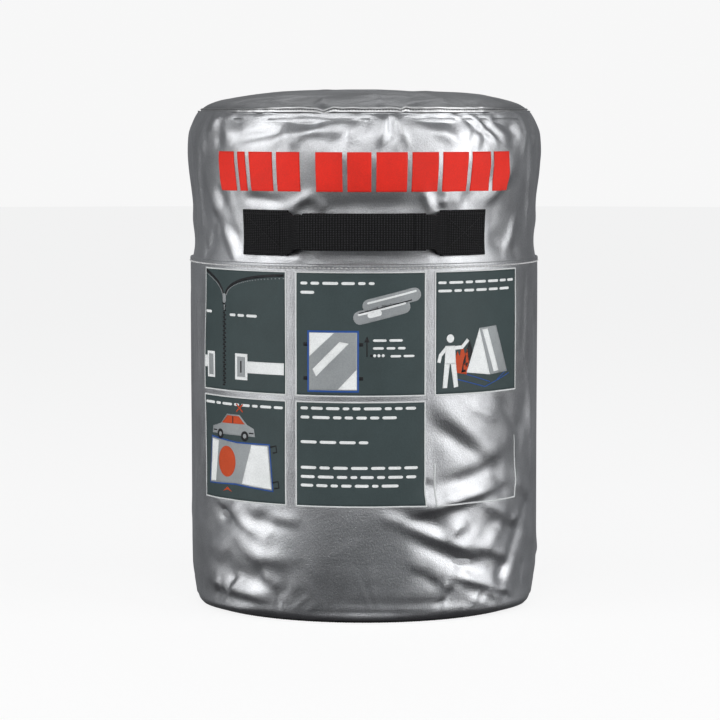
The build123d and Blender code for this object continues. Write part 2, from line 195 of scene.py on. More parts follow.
def add_piece(name, mesh, material, body=None, replaced=()):
    """A smooth visible piece that rides on a body and stands for CAD nodes."""
    verts, faces, *uv = mesh
    data = bpy.data.meshes.new(name)
    data.from_pydata((verts / 1000).tolist(), [], [list(map(int, face)) for face in faces])
    data.update()
    corners = np.empty(len(data.loops), dtype=np.int32)
    data.loops.foreach_get("vertex_index", corners)
    flat = uv[0] if uv else wall_uv(verts)
    data.uv_layers.new(name="UVMap").data.foreach_set("uv", (flat[corners] / 1000).ravel())
    data.shade_smooth()
    data.materials.append(material)
    piece = bpy.data.objects.new(name, data)
    bpy.context.scene.collection.objects.link(piece)
    if replaced:
        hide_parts(*replaced)
    if body:
        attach(piece, body)
    return piece


# ---- materials ----
class NodeTree:
    """The nodes of a material or a world, with short ways to add and join them."""

    def __init__(self, owner):
        owner.use_nodes = True
        self.owner = owner
        self.nodes = owner.node_tree.nodes

    def put(self, node, socket, value):
        """Joins another node's output to a socket, or sets the socket to a constant."""
        if isinstance(value, bpy.types.NodeSocket):
            self.owner.node_tree.links.new(value, node.inputs[socket])
        else:
            node.inputs[socket].default_value = value

    def add(self, kind, output, sockets, **settings):
        node = self.nodes.new("ShaderNode" + kind)
        for name, value in settings.items():
            setattr(node, name, value)
        for socket, value in sockets.items():
            self.put(node, socket, value)
        return node.outputs[output]

    def ramp(self, value, stops):
        """A colour that changes from the first (place, colour) stop to the second."""
        node = self.nodes.new("ShaderNodeValToRGB")
        for element, (place, color) in zip(node.color_ramp.elements, stops):
            element.position = place
            element.color = (*color, 1)
        self.put(node, "Fac", value)
        return node.outputs["Color"]


class Look(NodeTree):
    """A material, built up from procedural textures."""

    def __init__(self, name, metallic=0.0, specular=None):
        super().__init__(bpy.data.materials.new(name))
        self.shader = self.nodes["Principled BSDF"]
        self.shader.inputs["Metallic"].default_value = metallic
        if specular is not None:
            self.shader.inputs["Specular IOR Level"].default_value = specular
        self.normal = None

    def on(self, coordinates, stretch=(1, 1, 1)):
        """Object or UV coordinates, stretched along the axes."""
        plain = self.add("TexCoord", coordinates, {})
        return self.add("Mapping", "Vector", {"Vector": plain, "Scale": stretch})

    def noise(self, where, scale, detail, roughness):
        sockets = {"Scale": scale, "Detail": detail, "Roughness": roughness, "Vector": where}
        return self.add("TexNoise", "Fac", sockets)

    def wave(self, where, scale, direction):
        return self.add("TexWave", "Fac", {"Scale": scale, "Vector": where}, bands_direction=direction)

    def weave(self, where, scale_x, scale_y, operation):
        """Threads both ways."""
        return self.combine(self.wave(where, scale_x, "X"), self.wave(where, scale_y, "Y"), operation)

    def combine(self, a, b, operation):
        return self.add("Math", 0, {0: a, 1: b}, operation=operation)

    def mean(self, a, b):
        return self.combine(self.combine(a, b, "ADD"), 0.5, "MULTIPLY")

    def tint(self, value, color, low, high):
        """Base colour: the given one made darker or lighter at two (place, factor) stops."""
        stops = [(place, [min(c * factor, 1.0) for c in color]) for place, factor in (low, high)]
        self.put(self.shader, "Base Color", self.ramp(value, stops))

    def roughen(self, value, low, high):
        spread = self.add("MapRange", "Result", {"Value": value, "To Min": low, "To Max": high})
        self.put(self.shader, "Roughness", spread)

    def bump(self, height, strength, distance):
        """Adds a fine relief on top of the ones added before it."""
        sockets = {"Height": height, "Strength": strength, "Distance": distance}
        if self.normal is not None:
            sockets["Normal"] = self.normal
        self.normal = self.add("Bump", "Normal", sockets)
        self.put(self.shader, "Normal", self.normal)


def silver_cloth(name, color, rough, grain=0.55):
    """Aluminium-coated glass cloth: satin metal with a fine grain and the weave just showing."""
    look = Look(name, metallic=1.0)
    surface = look.on("Object")
    fine, soft = look.noise(surface, 520.0, 3.0, 0.75), look.noise(surface, 60.0, 3.0, 0.55)
    patches = look.mean(look.noise(surface, 9.0, 4.0, 0.6), look.noise(surface, 850.0, 3.0, 0.9))
    look.tint(patches, color, (0.38, 0.68), (0.62, 1.18))
    look.roughen(look.mean(fine, soft), rough - 0.1, rough + 0.1)
    look.bump(fine, grain, 0.0008)
    look.bump(look.weave(look.on("UV"), 260.0, 260.0, "ADD"), 0.10, 0.0003)
    return look.owner


def ink(name, color, rough=0.5, metallic=0.0):
    """Screen-printed ink on the coated cloth."""
    look = Look(name, metallic, specular=0.35)
    surface = look.on("Object")
    mottle = look.mean(look.noise(surface, 30.0, 5.0, 0.6), look.noise(surface, 700.0, 2.0, 0.6))
    look.tint(mottle, color, (0.35, 0.88), (0.65, 1.12))
    look.roughen(mottle, rough - 0.12, rough + 0.12)
    look.bump(look.noise(surface, 620.0, 2.0, 0.6), 0.2, 0.0004)
    look.bump(look.weave(look.on("UV"), 260.0, 260.0, "ADD"), 0.10, 0.0003)
    return look.owner


def woven_webbing(name, color, rib_pitch=0.003):
    """Woven polypropylene webbing: ribs across it, twill marks along it, a few pale fibres, and its raised
    threads painted lighter as a painted highlight.
    """
    look = Look(name, specular=0.25)
    cloth = look.on("UV")
    ribs, twill = 0.314 / rib_pitch, 0.314 / (rib_pitch * 0.62)
    threads = look.weave(cloth, ribs, twill, "MULTIPLY")
    fuzz = look.noise(cloth, 1500.0, 2.0, 0.7)
    # the raised threads, the same pattern as the bump, are painted lighter: a painted highlight on the rib
    # tops, mixed with real pale fibres
    look.tint(look.mean(threads, fuzz), color, (0.28, 0.12), (0.78, 4.2))
    look.roughen(fuzz, 0.68, 0.9)
    look.bump(threads, 0.8, 0.0009)
    return look.owner


def thread(name, color):
    look = Look(name)
    twist = look.noise(look.on("Object"), 2200.0, 2.0, 0.6)
    look.tint(twist, color, (0.3, 0.6), (0.7, 1.0))
    look.shader.inputs["Roughness"].default_value = 0.6
    look.bump(twist, 0.5, 0.0002)
    return look.owner


def worn_metal(name, color, rough):
    look = Look(name, metallic=1.0)
    brushed = look.noise(look.on("Object", (1, 1, 9)), 900.0, 2.0, 0.5)
    look.tint(look.noise(look.on("Object"), 300.0, 4.0, 0.6), color, (0.35, 0.75), (0.65, 1.0))
    look.roughen(brushed, rough - 0.08, rough + 0.12)
    look.bump(brushed, 0.15, 0.0001)
    return look.owner


def rubber(name, color):
    look = Look(name)
    pebble = look.noise(look.on("Object"), 1400.0, 2.0, 0.5)
    look.tint(pebble, color, (0.3, 0.7), (0.75, 1.5))
    look.roughen(pebble, 0.45, 0.65)
    look.bump(pebble, 0.3, 0.0001)
    return look.owner


def glass_cloth(name, color, rough=0.55):
    """The blanket itself: grey silicone-coated glass cloth with its plain weave showing."""
    look = Look(name, metallic=0.35)
    mottle = look.noise(look.on("Object"), 45.0, 4.0, 0.6)
    look.tint(mottle, color, (0.3, 0.8), (0.7, 1.0))
    look.roughen(mottle, rough - 0.1, rough + 0.1)
    look.bump(look.weave(look.on("UV"), 210.0, 210.0, "MULTIPLY"), 0.4, 0.0005)
    return look.owner


silver = silver_cloth("silver_cloth", (0.76, 0.77, 0.79), 0.34)
# the lid's copy of the silver cloth is darker than the walls: painted shade, for a top that faces the dim sky
silver_lid_painted_shade = silver_cloth("silver_lid_painted_shade", (0.532, 0.539, 0.553), 0.34)
# the rim lip's copy of the silver cloth is lighter: a painted highlight along the fold's edge where it
# catches the light
silver_lip_painted_highlight = silver_cloth("silver_lip_painted_highlight", (0.874, 0.8855, 0.9), 0.36, 0.15)
silver_base = silver_cloth("silver_base", (0.608, 0.616, 0.632), 0.4)
panel_ink = ink("panel_ink", (0.040, 0.060, 0.062), 0.56)
frame_ink = ink("frame_ink", (0.64, 0.66, 0.66))
title_ink = ink("red_ink", (0.72, 0.016, 0.005), 0.6)
ART_INKS = {
    "white": ink("white_ink", (0.76, 0.78, 0.78)),
    "grey": ink("grey_ink", (0.33, 0.35, 0.36), 0.45, 0.3),
    "orange": ink("orange_ink", (0.50, 0.055, 0.008), 0.52),
    "black": ink("black_ink", (0.012, 0.012, 0.014)),
    "blue": ink("blue_ink", (0.016, 0.075, 0.30)),
}
webbing = woven_webbing("black_webbing", (0.0105, 0.0105, 0.0115))
webbing_fine = woven_webbing("black_tape", (0.011, 0.011, 0.012), 0.0012)
blue_tape = woven_webbing("blue_tape", (0.02, 0.07, 0.26), 0.0012)
black_thread = thread("black_thread", (0.014, 0.014, 0.015))
grey_thread = thread("grey_thread", (0.16, 0.16, 0.165))
pale_thread = thread("pale_thread", (0.80, 0.80, 0.80))
coil_nylon = rubber("coil_nylon", (0.02, 0.02, 0.022))
grip_rubber = rubber("grip_rubber", (0.018, 0.018, 0.02))
zip_metal = worn_metal("zip_metal", (0.42, 0.42, 0.43), 0.3)
blanket_cloth = glass_cloth("blanket_cloth", (0.40, 0.41, 0.42))

# ---- wall forms: radius over height, through the CAD's own shapes ----
LOWER_FORM = (
    (BASE_R - 1.5, 2.4), (BASE_R + 4.0, 2.7), (190.8, 4.6), (194.2, 9.8), (196.0, 19.0), (196.9, 36.0),
    (197.6, 63.0), (198.0, 90.0), (198.0, 200.0), (198.0, 300.0), (198.0, LAP_Z + 3.0),
)
UPPER_FORM = (
    (196.2, LAP_Z - 15), (196.2, LAP_Z - 2), (195.0, LAP_Z + 6), (193.6, LAP_Z + 15), (193.1, LAP_Z + 26),
    (193.2, LAP_Z + 38), (194.2, LAP_Z + 55), (196.4, LAP_Z + 75), (199.4, LAP_Z + 98), (200.8, LAP_Z + 119),
    (200.0, LAP_Z + 138), (197.5, LAP_Z + 151), (194.6, SHOULDER_Z - 3.9), (191.4, SHOULDER_Z - 1.2),
    (187.0, SHOULDER_Z), (182.0, SHOULDER_Z),
)


# ---- folds and creases of the cloth ----
def crease(x, y, start, end, width, height, sharp=1.0, tail=0.3):
    """One fold along a line; sharp below 1 makes its right side steeper, tail is how far its ends run on."""
    start, end = np.array(start, float), np.array(end, float)
    length = np.linalg.norm(end - start)
    along = (end - start) / length
    s = (x - start[0]) * along[0] + (y - start[1]) * along[1]
    t = -(x - start[0]) * along[1] + (y - start[1]) * along[0]
    begins = smoothstep(s, -tail * length, 0.3 * length)
    ends = smoothstep(s, 0.7 * length, (1 + tail) * length)
    return height * hump(t, 0, np.where(t < 0, width * sharp, width)) * begins * (1 - ends)


def fold(azimuth, z, start, end, width, height, sharp=1.0):
    """A crease on a wall, between two (azimuth, z) points."""
    middle = (start[0] + end[0]) / 2
    x = ((azimuth - middle + 180) % 360 - 180) * MM_PER_DEG
    start, end = (((point[0] - middle) * MM_PER_DEG, point[1]) for point in (start, end))
    return crease(x, z, start, end, width, height, sharp, 0.35)


# each fold: its two ends as (azimuth, z), then width, height and sharpness
LOWER_FOLDS = (
    # lower left
    ((-54, 128), (-38, 98), 9, 2.6, 0.6), ((-53, 112), (-27, 108), 8, -2.2, 1.0),
    ((-31, 114), (-22, 112), 6, 1.6, 1.0), ((-58, 72), (-44, 82), 12, 1.6, 1.0),
    ((-55, 48), (-30, 41), 10, -2.6, 0.8), ((-63, 40), (-33, 24), 10, 2.6, 0.7),
    ((-50, 30), (-47, 44), 4, -1.6, 1.0), ((-34, 50), (-28, 38), 6, 1.8, 1.0),
    ((-46, 92), (-33, 60), 12, 1.5, 0.7),
    # lower right
    ((14, 120), (48, 147), 10, 3.0, 0.6), ((17, 133), (31, 136), 12, 1.4, 1.0),
    ((9, 125), (27, 99), 8, -2.6, 0.8), ((11, 111), (38, 74), 8, 2.4, 0.7),
    ((16, 90), (39, 52), 8, -2.6, 0.8), ((16, 66), (30, 38), 8, 2.2, 0.7),
    ((40, 132), (54, 112), 10, 2.2, 0.7), ((39, 82), (56, 62), 9, 2.4, 0.7),
    ((29, 52), (52, 28), 9, 2.6, 0.6), ((67, 120), (49, 40), 8, -2.6, 0.8),
    ((44, 27), (50, 18), 4, 1.2, 1.0), ((51, 31), (57, 21), 4, 1.2, 1.0), ((36, 24), (43, 15), 4, 1.0, 1.0),
    ((45, 104), (60, 90), 6, -1.8, 1.0), ((58, 150), (70, 128), 9, 2.0, 0.8),
    # the bottom crease
    ((-6, 22), (30, 20), 5, -1.3, 1.0), ((-60, 16), (-20, 17), 6, -1.0, 1.0),
    ((-22, 62), (4, 50), 14, 1.0, 1.0),
    # inside the open frame
    ((24, 238), (44, 190), 10, 1.8, 1.0), ((25, 212), (40, 176), 8, -2.2, 1.0),
    ((30, 166), (54, 196), 11, 1.7, 1.0), ((50, 240), (61, 200), 8, -1.9, 1.0),
    ((25, 150), (46, 166), 8, -1.6, 1.0), ((46, 222), (36, 236), 6, 1.2, 1.0),
    # down both sides
    ((-71, 360), (-69, 210), 6, 1.3, 1.0), ((-80, 330), (-78, 150), 7, -1.3, 1.0),
    ((68, 250), (74, 140), 6, 1.4, 1.0), ((75, 370), (80, 250), 7, -1.3, 1.0),
    ((-66, 190), (-74, 120), 7, 1.5, 1.0), ((66, 372), (63, 300), 5, -1.2, 1.0),
    # quiet ones on the printed part
    ((-60, 330), (-66, 210), 12, 1.2, 1.0), ((62, 330), (72, 210), 12, 1.3, 1.0),
    ((60, 180), (66, 240), 10, -1.4, 1.0), ((-24, 380), (-22, 300), 8, 0.6, 1.0),
    ((21, 250), (24, 140), 8, -0.6, 1.0), ((-24, 240), (-27, 140), 9, 0.7, 1.0),
    # round the back
    ((110, 90), (150, 60), 12, 2.6, 0.7), ((120, 150), (165, 120), 12, -2.2, 0.8),
    ((-120, 110), (-160, 70), 12, 2.6, 0.7), ((-100, 60), (-130, 34), 9, -2.2, 1.0),
    ((90, 60), (110, 30), 9, 2.4, 0.7), ((-150, 190), (-115, 150), 14, 1.8, 1.0),
    ((140, 240), (166, 200), 14, 1.6, 1.0), ((172, 90), (190, 60), 9, -2.0, 1.0),
    ((-170, 160), (-185, 120), 10, 1.6, 1.0), ((96, 320), (112, 270), 14, 1.4, 1.0),
    ((-98, 330), (-112, 270), 14, 1.4, 1.0), ((150, 350), (168, 320), 10, -1.2, 1.0),
)
UPPER_FOLDS = (
    # from the rim down
    ((-41, 529), (-14, 545), 6, -2.4, 0.8), ((-30, 552), (-12, 547), 7, -3.4, 1.0),
    ((-27, 536), (-10, 543), 6, 2.2, 1.0), ((-12, 553), (0, 549), 5, -2.4, 1.0),
    ((-58, 546), (-50, 552), 6, 1.8, 1.0), ((14, 553), (30, 546), 7, -2.8, 0.8),
    ((22, 540), (30, 528), 6, 2.0, 1.0), ((48, 548), (58, 536), 7, -2.6, 0.8),
    ((-20, 530), (-4, 524), 8, -1.8, 1.0), ((7, 557), (5, 524), 5, 2.4, 1.0),
    ((10, 557), (13, 526), 4, 1.8, 1.0), ((8.4, 556), (8.8, 530), 3, -2.2, 1.0),
    ((2, 554), (-1, 534), 5, -1.4, 1.0), ((33, 556), (43, 530), 4.5, -2.4, 1.0),
    ((37.5, 557), (48, 531), 4.5, -2.2, 1.0), ((35.5, 557), (45.5, 530), 4, 1.8, 1.0),
    ((-60, 552), (-48, 530), 8, 2.0, 1.0), ((60, 552), (54, 524), 8, -1.8, 1.0),
    ((20, 556), (24, 538), 6, -1.4, 1.0), ((-52, 556), (-44, 541), 5, -1.6, 1.0),
    # round the handle
    ((-60, 470), (-46, 396), 10, 2.4, 0.6), ((-40, 464), (-28, 459), 6, -2.0, 1.0),
    ((-25, 452), (-17, 470), 5, 1.6, 1.0), ((22, 452), (19, 474), 5, 1.6, 1.0),
    ((26, 456), (27, 474), 5, 1.4, 1.0), ((-28, 404), (-20, 398), 7, 1.8, 1.0),
    ((-18, 456), (18, 458), 9, -1.4, 1.0), ((44, 462), (56, 500), 9, 2.0, 0.8),
    ((46, 420), (60, 404), 9, -1.8, 1.0), ((-44, 420), (-56, 440), 7, -1.6, 1.0),
    ((22, 402), (40, 404), 8, 1.4, 1.0), ((-12, 402), (6, 398), 8, -0.8, 1.0),
    # down both sides
    ((-65, 540), (-70, 440), 6, 1.8, 1.0), ((-76, 520), (-80, 410), 7, -1.5, 1.0),
    ((66, 530), (71, 424), 6, 1.7, 1.0), ((78, 540), (80, 440), 7, -1.5, 1.0),
    ((-58, 430), (-64, 398), 6, -1.6, 1.0), ((60, 440), (54, 402), 6, 1.6, 1.0),
    # over the title
    ((-50, 500), (-36, 520), 12, 1.2, 1.0), ((-10, 516), (14, 500), 14, 1.0, 1.0),
    ((30, 512), (46, 498), 12, 1.2, 1.0),
    # round the back
    ((100, 552), (112, 524), 8, 2.2, 1.0), ((-100, 552), (-114, 520), 8, -2.2, 1.0),
    ((130, 500), (160, 470), 12, 2.0, 1.0), ((-130, 480), (-160, 510), 12, 2.0, 1.0),
    ((150, 552), (156, 530), 5, -2.0, 1.0), ((-150, 552), (-146, 528), 5, -2.0, 1.0),
    ((80, 440), (110, 420), 12, 1.8, 1.0), ((-80, 430), (-112, 450), 12, 1.8, 1.0),
    ((170, 440), (190, 430), 10, -1.6, 1.0), ((76, 548), (70, 520), 7, 2.0, 1.0),
    ((-78, 550), (-72, 524), 7, 1.8, 1.0),
)
# zones of small creases: z limits, seed, count, height, azimuth limits, lean, limits of their width
LOWER_CREASES = (
    (24, 150, 5, 44, 0.8, (-180, 180), 0.0, (5.0, 11.0)),
    (120, 380, 6, 60, 0.3, (-180, 180), 0.0, (4.0, 9.0)),
    (22, 140, 51, 18, 2.0, (-68, -20), 0.8, (6.0, 13.0)),
    (18, 150, 52, 22, 2.2, (16, 68), 1.0, (6.0, 13.0)),
    (14, 30, 53, 18, 1.0, (-70, 70), 0.2, (2.5, 5.0)),
)
UPPER_CREASES = (
    (400, 552, 8, 60, 0.6, (-180, 180), 0.0, (5.0, 10.0)),
    (520, 552, 81, 22, 1.7, (-65, 65), 0.3, (4.0, 9.0)),
    (398, 470, 82, 14, 1.5, (-70, -15), -0.4, (5.0, 11.0)),
    (398, 470, 83, 14, 1.5, (15, 70), 0.4, (5.0, 11.0)),
)


def soft_creases(azimuth, z, low, high, seed, count, tall, span, lean_to, widths):
    """Many shallow creases at seeded places, as a filled bag has."""
    draw = np.random.default_rng(seed)
    total = np.zeros(np.broadcast(azimuth, z).shape)
    for _ in range(count):
        az = draw.uniform(*span)
        mid = draw.uniform(low, high)
        half = draw.uniform(14, 46) / 2
        lean = draw.normal(lean_to, 0.6)
        width = draw.uniform(*widths)
        height = draw.uniform(0.25, 1.0) * tall * draw.choice([-1, 1])
        side, rise = math.sin(lean) * half / MM_PER_DEG, math.cos(lean) * half
        total += fold(azimuth, z, (az - side, mid - rise), (az + side, mid + rise), width, height)
    return total


def bulges(azimuth, z, seed, tall, count=7):
    """Broad, low swells that break up the round form."""
    draw = np.random.default_rng(seed)
    total = np.zeros(np.broadcast(azimuth, z).shape)
    for _ in range(count):
        waves = draw.integers(2, 9)
        climb = draw.uniform(0.006, 0.02)
        phase, lift = draw.uniform(0, 2 * math.pi, 2)
        total += np.sin(np.radians(azimuth) * waves + phase + z * climb * draw.choice([-1, 1]) + lift)
    return total / math.sqrt(count) * tall


def creased(azimuth, z, seed, swell, zones, folds, wider, taller):
    """Swells, seeded creases and listed folds together."""
    total = bulges(azimuth, z, seed, swell)
    for zone in zones:
        total += soft_creases(azimuth, z, *zone)
    for start, end, width, height, sharp in folds:
        total += fold(azimuth, z, start, end, width * wider, height * taller, sharp * 0.95)
    return total


def lower_relief(azimuth, z):
    total = creased(azimuth, z, 11, 0.35, LOWER_CREASES, LOWER_FOLDS, 1.3, 1.3) * smoothstep(z, 3.0, 22.0)
    # the middle of the front is smooth and slopes in a little towards the base
    front = hump(azimuth, 0, 24.0)
    total *= 1 - 0.6 * front * (1 - smoothstep(z, 100, 130))
    total -= 4.5 * front * (1 - smoothstep(z, 6, 128)) * smoothstep(z, 3, 12)
    # the bottom is filled out at both sides, and slumps a little between
    side = np.abs(np.sin(np.radians(azimuth)))
    total += (0.3 + 0.6 * smoothstep(side, 0.2, 0.75)) * hump(z, 13, 9.0) * smoothstep(z, 3.0, 9.0)
    # the lap's turned edge: a raised lip, and a line drawn in by the stitches below it
    lip = 0.55 * hump(z, LAP_Z + 0.8, 2.2) - 0.5 * hump(z, SEAM_Z, 1.6)
    pucker = 0.14 * np.sin(np.radians(azimuth) * 190) * hump(z, SEAM_Z, 5.0)
    return total * (1 - 0.75 * smoothstep(z, LAP_Z - 16, LAP_Z - 3)) + lip + pucker


def upper_relief(azimuth, z):
    total = creased(azimuth, z, 21, 0.45, UPPER_CREASES, UPPER_FOLDS, 1.25, 1.2)
    # the cloth lies flat under the sewn anchors
    front = from_front(azimuth)
    under_anchor = smoothstep(front, ANCHOR_INNER - 5, ANCHOR_INNER)
    under_anchor *= (1 - smoothstep(front, ANCHOR_OUTER, ANCHOR_OUTER + 5)) * hump(z, ANCHOR_MID, 30.0, 6)
    total = (total * (1 - 0.85 * under_anchor) - 0.35 * under_anchor) * smoothstep(z, LAP_Z - 4, LAP_Z + 8)
    rise = smoothstep(z, SHOULDER_Z - 9, SHOULDER_Z - 0.4)
    return np.minimum(total, 1.0 + 3 * (1 - rise)) * (1 - 0.9 * rise)


def top_edge(azimuth, r, z):
    """How far the top edge of the upper wall stands up in front of the zip, most at both sides."""
    front = from_front(azimuth)
    turn = np.radians(azimuth)
    tall = 3.4 + 2.0 * smoothstep(front, 38, 62) + 0.35 * np.sin(turn * 31) + 0.3 * np.sin(turn * 53 + 1)
    edge = smoothstep(z, SHOULDER_Z - 20, SHOULDER_Z - 1.6) * smoothstep(r, 187.4, 190.6)
    return tall * (1 - smoothstep(front, 106, 119)) * edge


def bottom_corner(azimuth, r, z):
    """The filled bag spreads into two corners just above the floor, and draws in at its sides."""
    front = from_front(azimuth)
    corner = 3.6 * hump(front, 56, 18, 4) * (1 - smoothstep(z, 3, 24)) * smoothstep(r, 184.5, 190.0)
    return corner - 4.5 * smoothstep(front, 68, 84) * (1 - smoothstep(z, 2, 46)) * smoothstep(r, 185.0, 192.0)


STEP_AZ = 0.6
wall_azimuths = np.arange(-180, 180, STEP_AZ)


class Wall:
    """One wall: a fine outer face that prints and stitches can be laid on, and a coarse inner one."""

    def __init__(self, form, relief, step):
        path = smooth_path(form, step)
        slope = unit(np.gradient(path, axis=0))
        self.run = run_along(path)
        self.levels = path[:, 1]
        # radius, height and outward direction as columns, to go with a row of azimuths
        self.r, self.z = path[:, :1], path[:, 1:]
        self.out_r, self.out_z = slope[:, 1:], -slope[:, :1]
        self.az, z = np.meshgrid(wall_azimuths, self.levels)
        self.relief = relief(self.az, z)
        raised = top_edge(self.az, self.r, z)
        radius = self.r + self.out_r * self.relief - 0.85 * raised * smoothstep(self.r, 189, 193)
        height = self.z + self.out_z * self.relief + raised
        self.points = around(self.az, radius + bottom_corner(self.az, self.r, z), height)

    def skin(self, inner_rows, thickness=1.5):
        rows, cols = self.az.shape
        pick = np.unique(np.linspace(rows - 1, 0, inner_rows).astype(int))[::-1]
        drop = np.minimum(self.relief[pick], 0) - thickness
        radius, height = self.r[pick] + self.out_r[pick] * drop, self.z[pick] + self.out_z[pick] * drop
        rings = np.concatenate([self.points, around(self.az[pick], radius, height)])
        up = np.concatenate([self.run, self.run[pick]])[:, None]
        uv = np.stack(np.broadcast_arrays(wall_azimuths * MM_PER_DEG, up), -1).reshape(-1, 2)
        return (*swept(rings, closed=True), uv)

    def place(self, azimuth, z, lift):
        """Points on the wall's own face at azimuths and heights, lifted off it."""
        azimuth, z, lift = np.broadcast_arrays(np.asarray(azimuth, float), np.asarray(z, float), lift)
        row = np.interp(z, self.levels, np.arange(len(self.levels)))
        col = ((azimuth + 180) % 360) / STEP_AZ
        r0, c0 = np.minimum(row.astype(int), len(self.levels) - 2), col.astype(int) % len(wall_azimuths)
        fr, fc = (row - r0)[..., None], (col - np.floor(col))[..., None]
        c1 = (c0 + 1) % len(wall_azimuths)
        low = self.points[r0, c0] * (1 - fc) + self.points[r0, c1] * fc
        high = self.points[r0 + 1, c0] * (1 - fc) + self.points[r0 + 1, c1] * fc
        return low * (1 - fr) + high * fr + around(azimuth, 1.0, 0.0) * lift[..., None]


lower = Wall(LOWER_FORM, lower_relief, 2.4)
upper = Wall(UPPER_FORM, upper_relief, 1.6)
for wall, node, inner_rows, flat in ((lower, "lower_wall", 26, (1.244, 0.402)),
                                     (upper, "upper_wall", 40, (1.235, 0.205))):
    piece = add_piece(f"{node}_cloth", wall.skin(inner_rows), silver, "bag", (node,))


# ---- things laid on a wall ----
INK_LIFT, INK_T = 0.12, 0.2


def closed_skin(face, back, cells):
    """Both sides of a skin and the strip round its open edges."""
    cells = np.asarray(cells).tolist()
    edges = {}
    for cell in cells:
        for a, b in zip(cell, cell[1:] + cell[:1]):
            if (b, a) in edges:
                del edges[(b, a)]
            else:
                edges[(a, b)] = True
    count = len(face)
    rim = [[b, a, a + count, b + count] for a, b in edges]
    return np.concatenate([face, back]), cells + [[i + count for i in c[::-1]] for c in cells] + rim


def patch(wall, low, high, start, end, lift=INK_LIFT, thick=INK_T, step=3.0):
    """A thin closed skin over a window of a wall."""
    cols = max(int((end - start) * MM_PER_DEG / step) + 1, 2)
    rows = max(int((high - low) / step) + 1, 2)
    az, z = np.meshgrid(np.linspace(start, end, cols), np.linspace(low, high, rows))
    face, back = (wall.place(az, z, height).reshape(-1, 3) for height in (lift + thick, lift))
    return closed_skin(face, back, grid_faces(rows, cols))


def cut_shape(shape, step=3.0):
    """(points, triangles) of a flat outline, cut up finely enough to follow a wall."""
    bm = bmesh.new()
    bm.faces.new([bm.verts.new((x, y, 0)) for x, y in shape])
    bmesh.ops.triangulate(bm, faces=bm.faces[:])
    for axis, along in enumerate(zip(*shape)):
        low, high = min(along), max(along)
        for cut in np.arange(math.ceil(low / step) * step, high, step):
            if low + 0.05 < cut < high - 0.05:
                geometry = bm.verts[:] + bm.edges[:] + bm.faces[:]
                normal = np.eye(3)[axis]
                bmesh.ops.bisect_plane(bm, geom=geometry, plane_co=normal * cut, plane_no=normal, dist=1e-5)
    bmesh.ops.triangulate(bm, faces=bm.faces[:])
    bmesh.ops.dissolve_degenerate(bm, dist=1e-4, edges=bm.edges[:])
    bm.verts.index_update()
    flat = np.array([v.co[:2] for v in bm.verts])
    tris = np.array([[v.index for v in f.verts] for f in bm.faces if len(f.verts) == 3])
    bm.free()
    a, b, c = (flat[tris[:, k]] for k in range(3))
    turned = (b - a)[:, 0] * (c - a)[:, 1] - (b - a)[:, 1] * (c - a)[:, 0]
    tris[turned < 0] = tris[turned < 0][:, ::-1]
    return flat, tris


def laid_shapes(wall, origin, shapes, lift, thick):
    """Flat shapes, in mm from a window's lower left corner, laid on a wall."""
    parts = []
    for shape in shapes:
        flat, tris = cut_shape(shape)
        az, z = origin[0] + flat[:, 0] / MM_PER_DEG, origin[1] + flat[:, 1]
        parts.append(closed_skin(wall.place(az, z, lift + thick), wall.place(az, z, lift), tris))
    return joined(parts)


# ---- printed panels ----
windows = [(*row, *column) for row in PANEL_ROWS for column in PANEL_COLUMNS]
open_window = windows.pop()
FRAME_W = 1.6
FRAME_ARC = FRAME_W / MM_PER_DEG
for number, (low, high, start, end) in enumerate(windows, 1):
    print_skin = patch(lower, low + FRAME_W, high - FRAME_W, start + FRAME_ARC, end - FRAME_ARC)
    node = f"instruction_panel_{number}"
    add_piece(f"panel_print_{number}", print_skin, panel_ink, "bag", (node,))


def outline(low, high, start, end, left=None, right=None):
    """Strips round a window; where left and right say how far its sides rise, it stays open on top."""
    strips = [(low, low + FRAME_W, start, end), (low, low + (left or high - low), start, start + FRAME_ARC),
              (low, low + (right or high - low), end - FRAME_ARC, end)]
    if left is None:
        strips.append((high - FRAME_W, high, start, end))
    return [patch(lower, *strip, thick=INK_T + 0.12) for strip in strips]


frames = [part for window in windows for part in outline(*window)]
add_piece("panel_frames_print", joined(frames), frame_ink, "bag", ("panel_frames",))
open_frame = joined(outline(*open_window, left=46.0, right=70.0))
add_piece("open_frame_print", open_frame, frame_ink, "bag", ("open_frame",))

# the title: plain upright blocks that stand for two short words, by their widths
TITLE_WORDS = ((7.6, 3.0, 8.3, 7.8), (8.2, 7.2, 9.4, 8.4, 8.6, 7.4, 7.6))
TITLE_HALF, BLOCK_GAP, WORD_GAP = 52.7, 1.5, 5.2
widths = sum(TITLE_WORDS, ())
block_scale = (2 * TITLE_HALF - WORD_GAP - (len(widths) - 2) * BLOCK_GAP) / sum(widths)
blocks = []
start = -TITLE_HALF
for word in TITLE_WORDS:
    for width in word:
        end = start + width * block_scale
        blocks.append(patch(upper, *heights("title_print"), start, end, step=2.0))
        start = end + BLOCK_GAP
    start += WORD_GAP - BLOCK_GAP
add_piece("title_blocks", joined(blocks), title_ink, "bag", ("title_print",))


# ---- generic pictures on the panels, in mm from each window's lower left corner ----
def rect(x0, y0, x1, y1):
    return [(x0, y0), (x1, y0), (x1, y1), (x0, y1)]


def disc(x, y, radius, tall=1.0, count=20):
    turns = [2 * math.pi * k / count for k in range(count)]
    return [(x + radius * math.cos(turn), y + radius * tall * math.sin(turn)) for turn in turns]


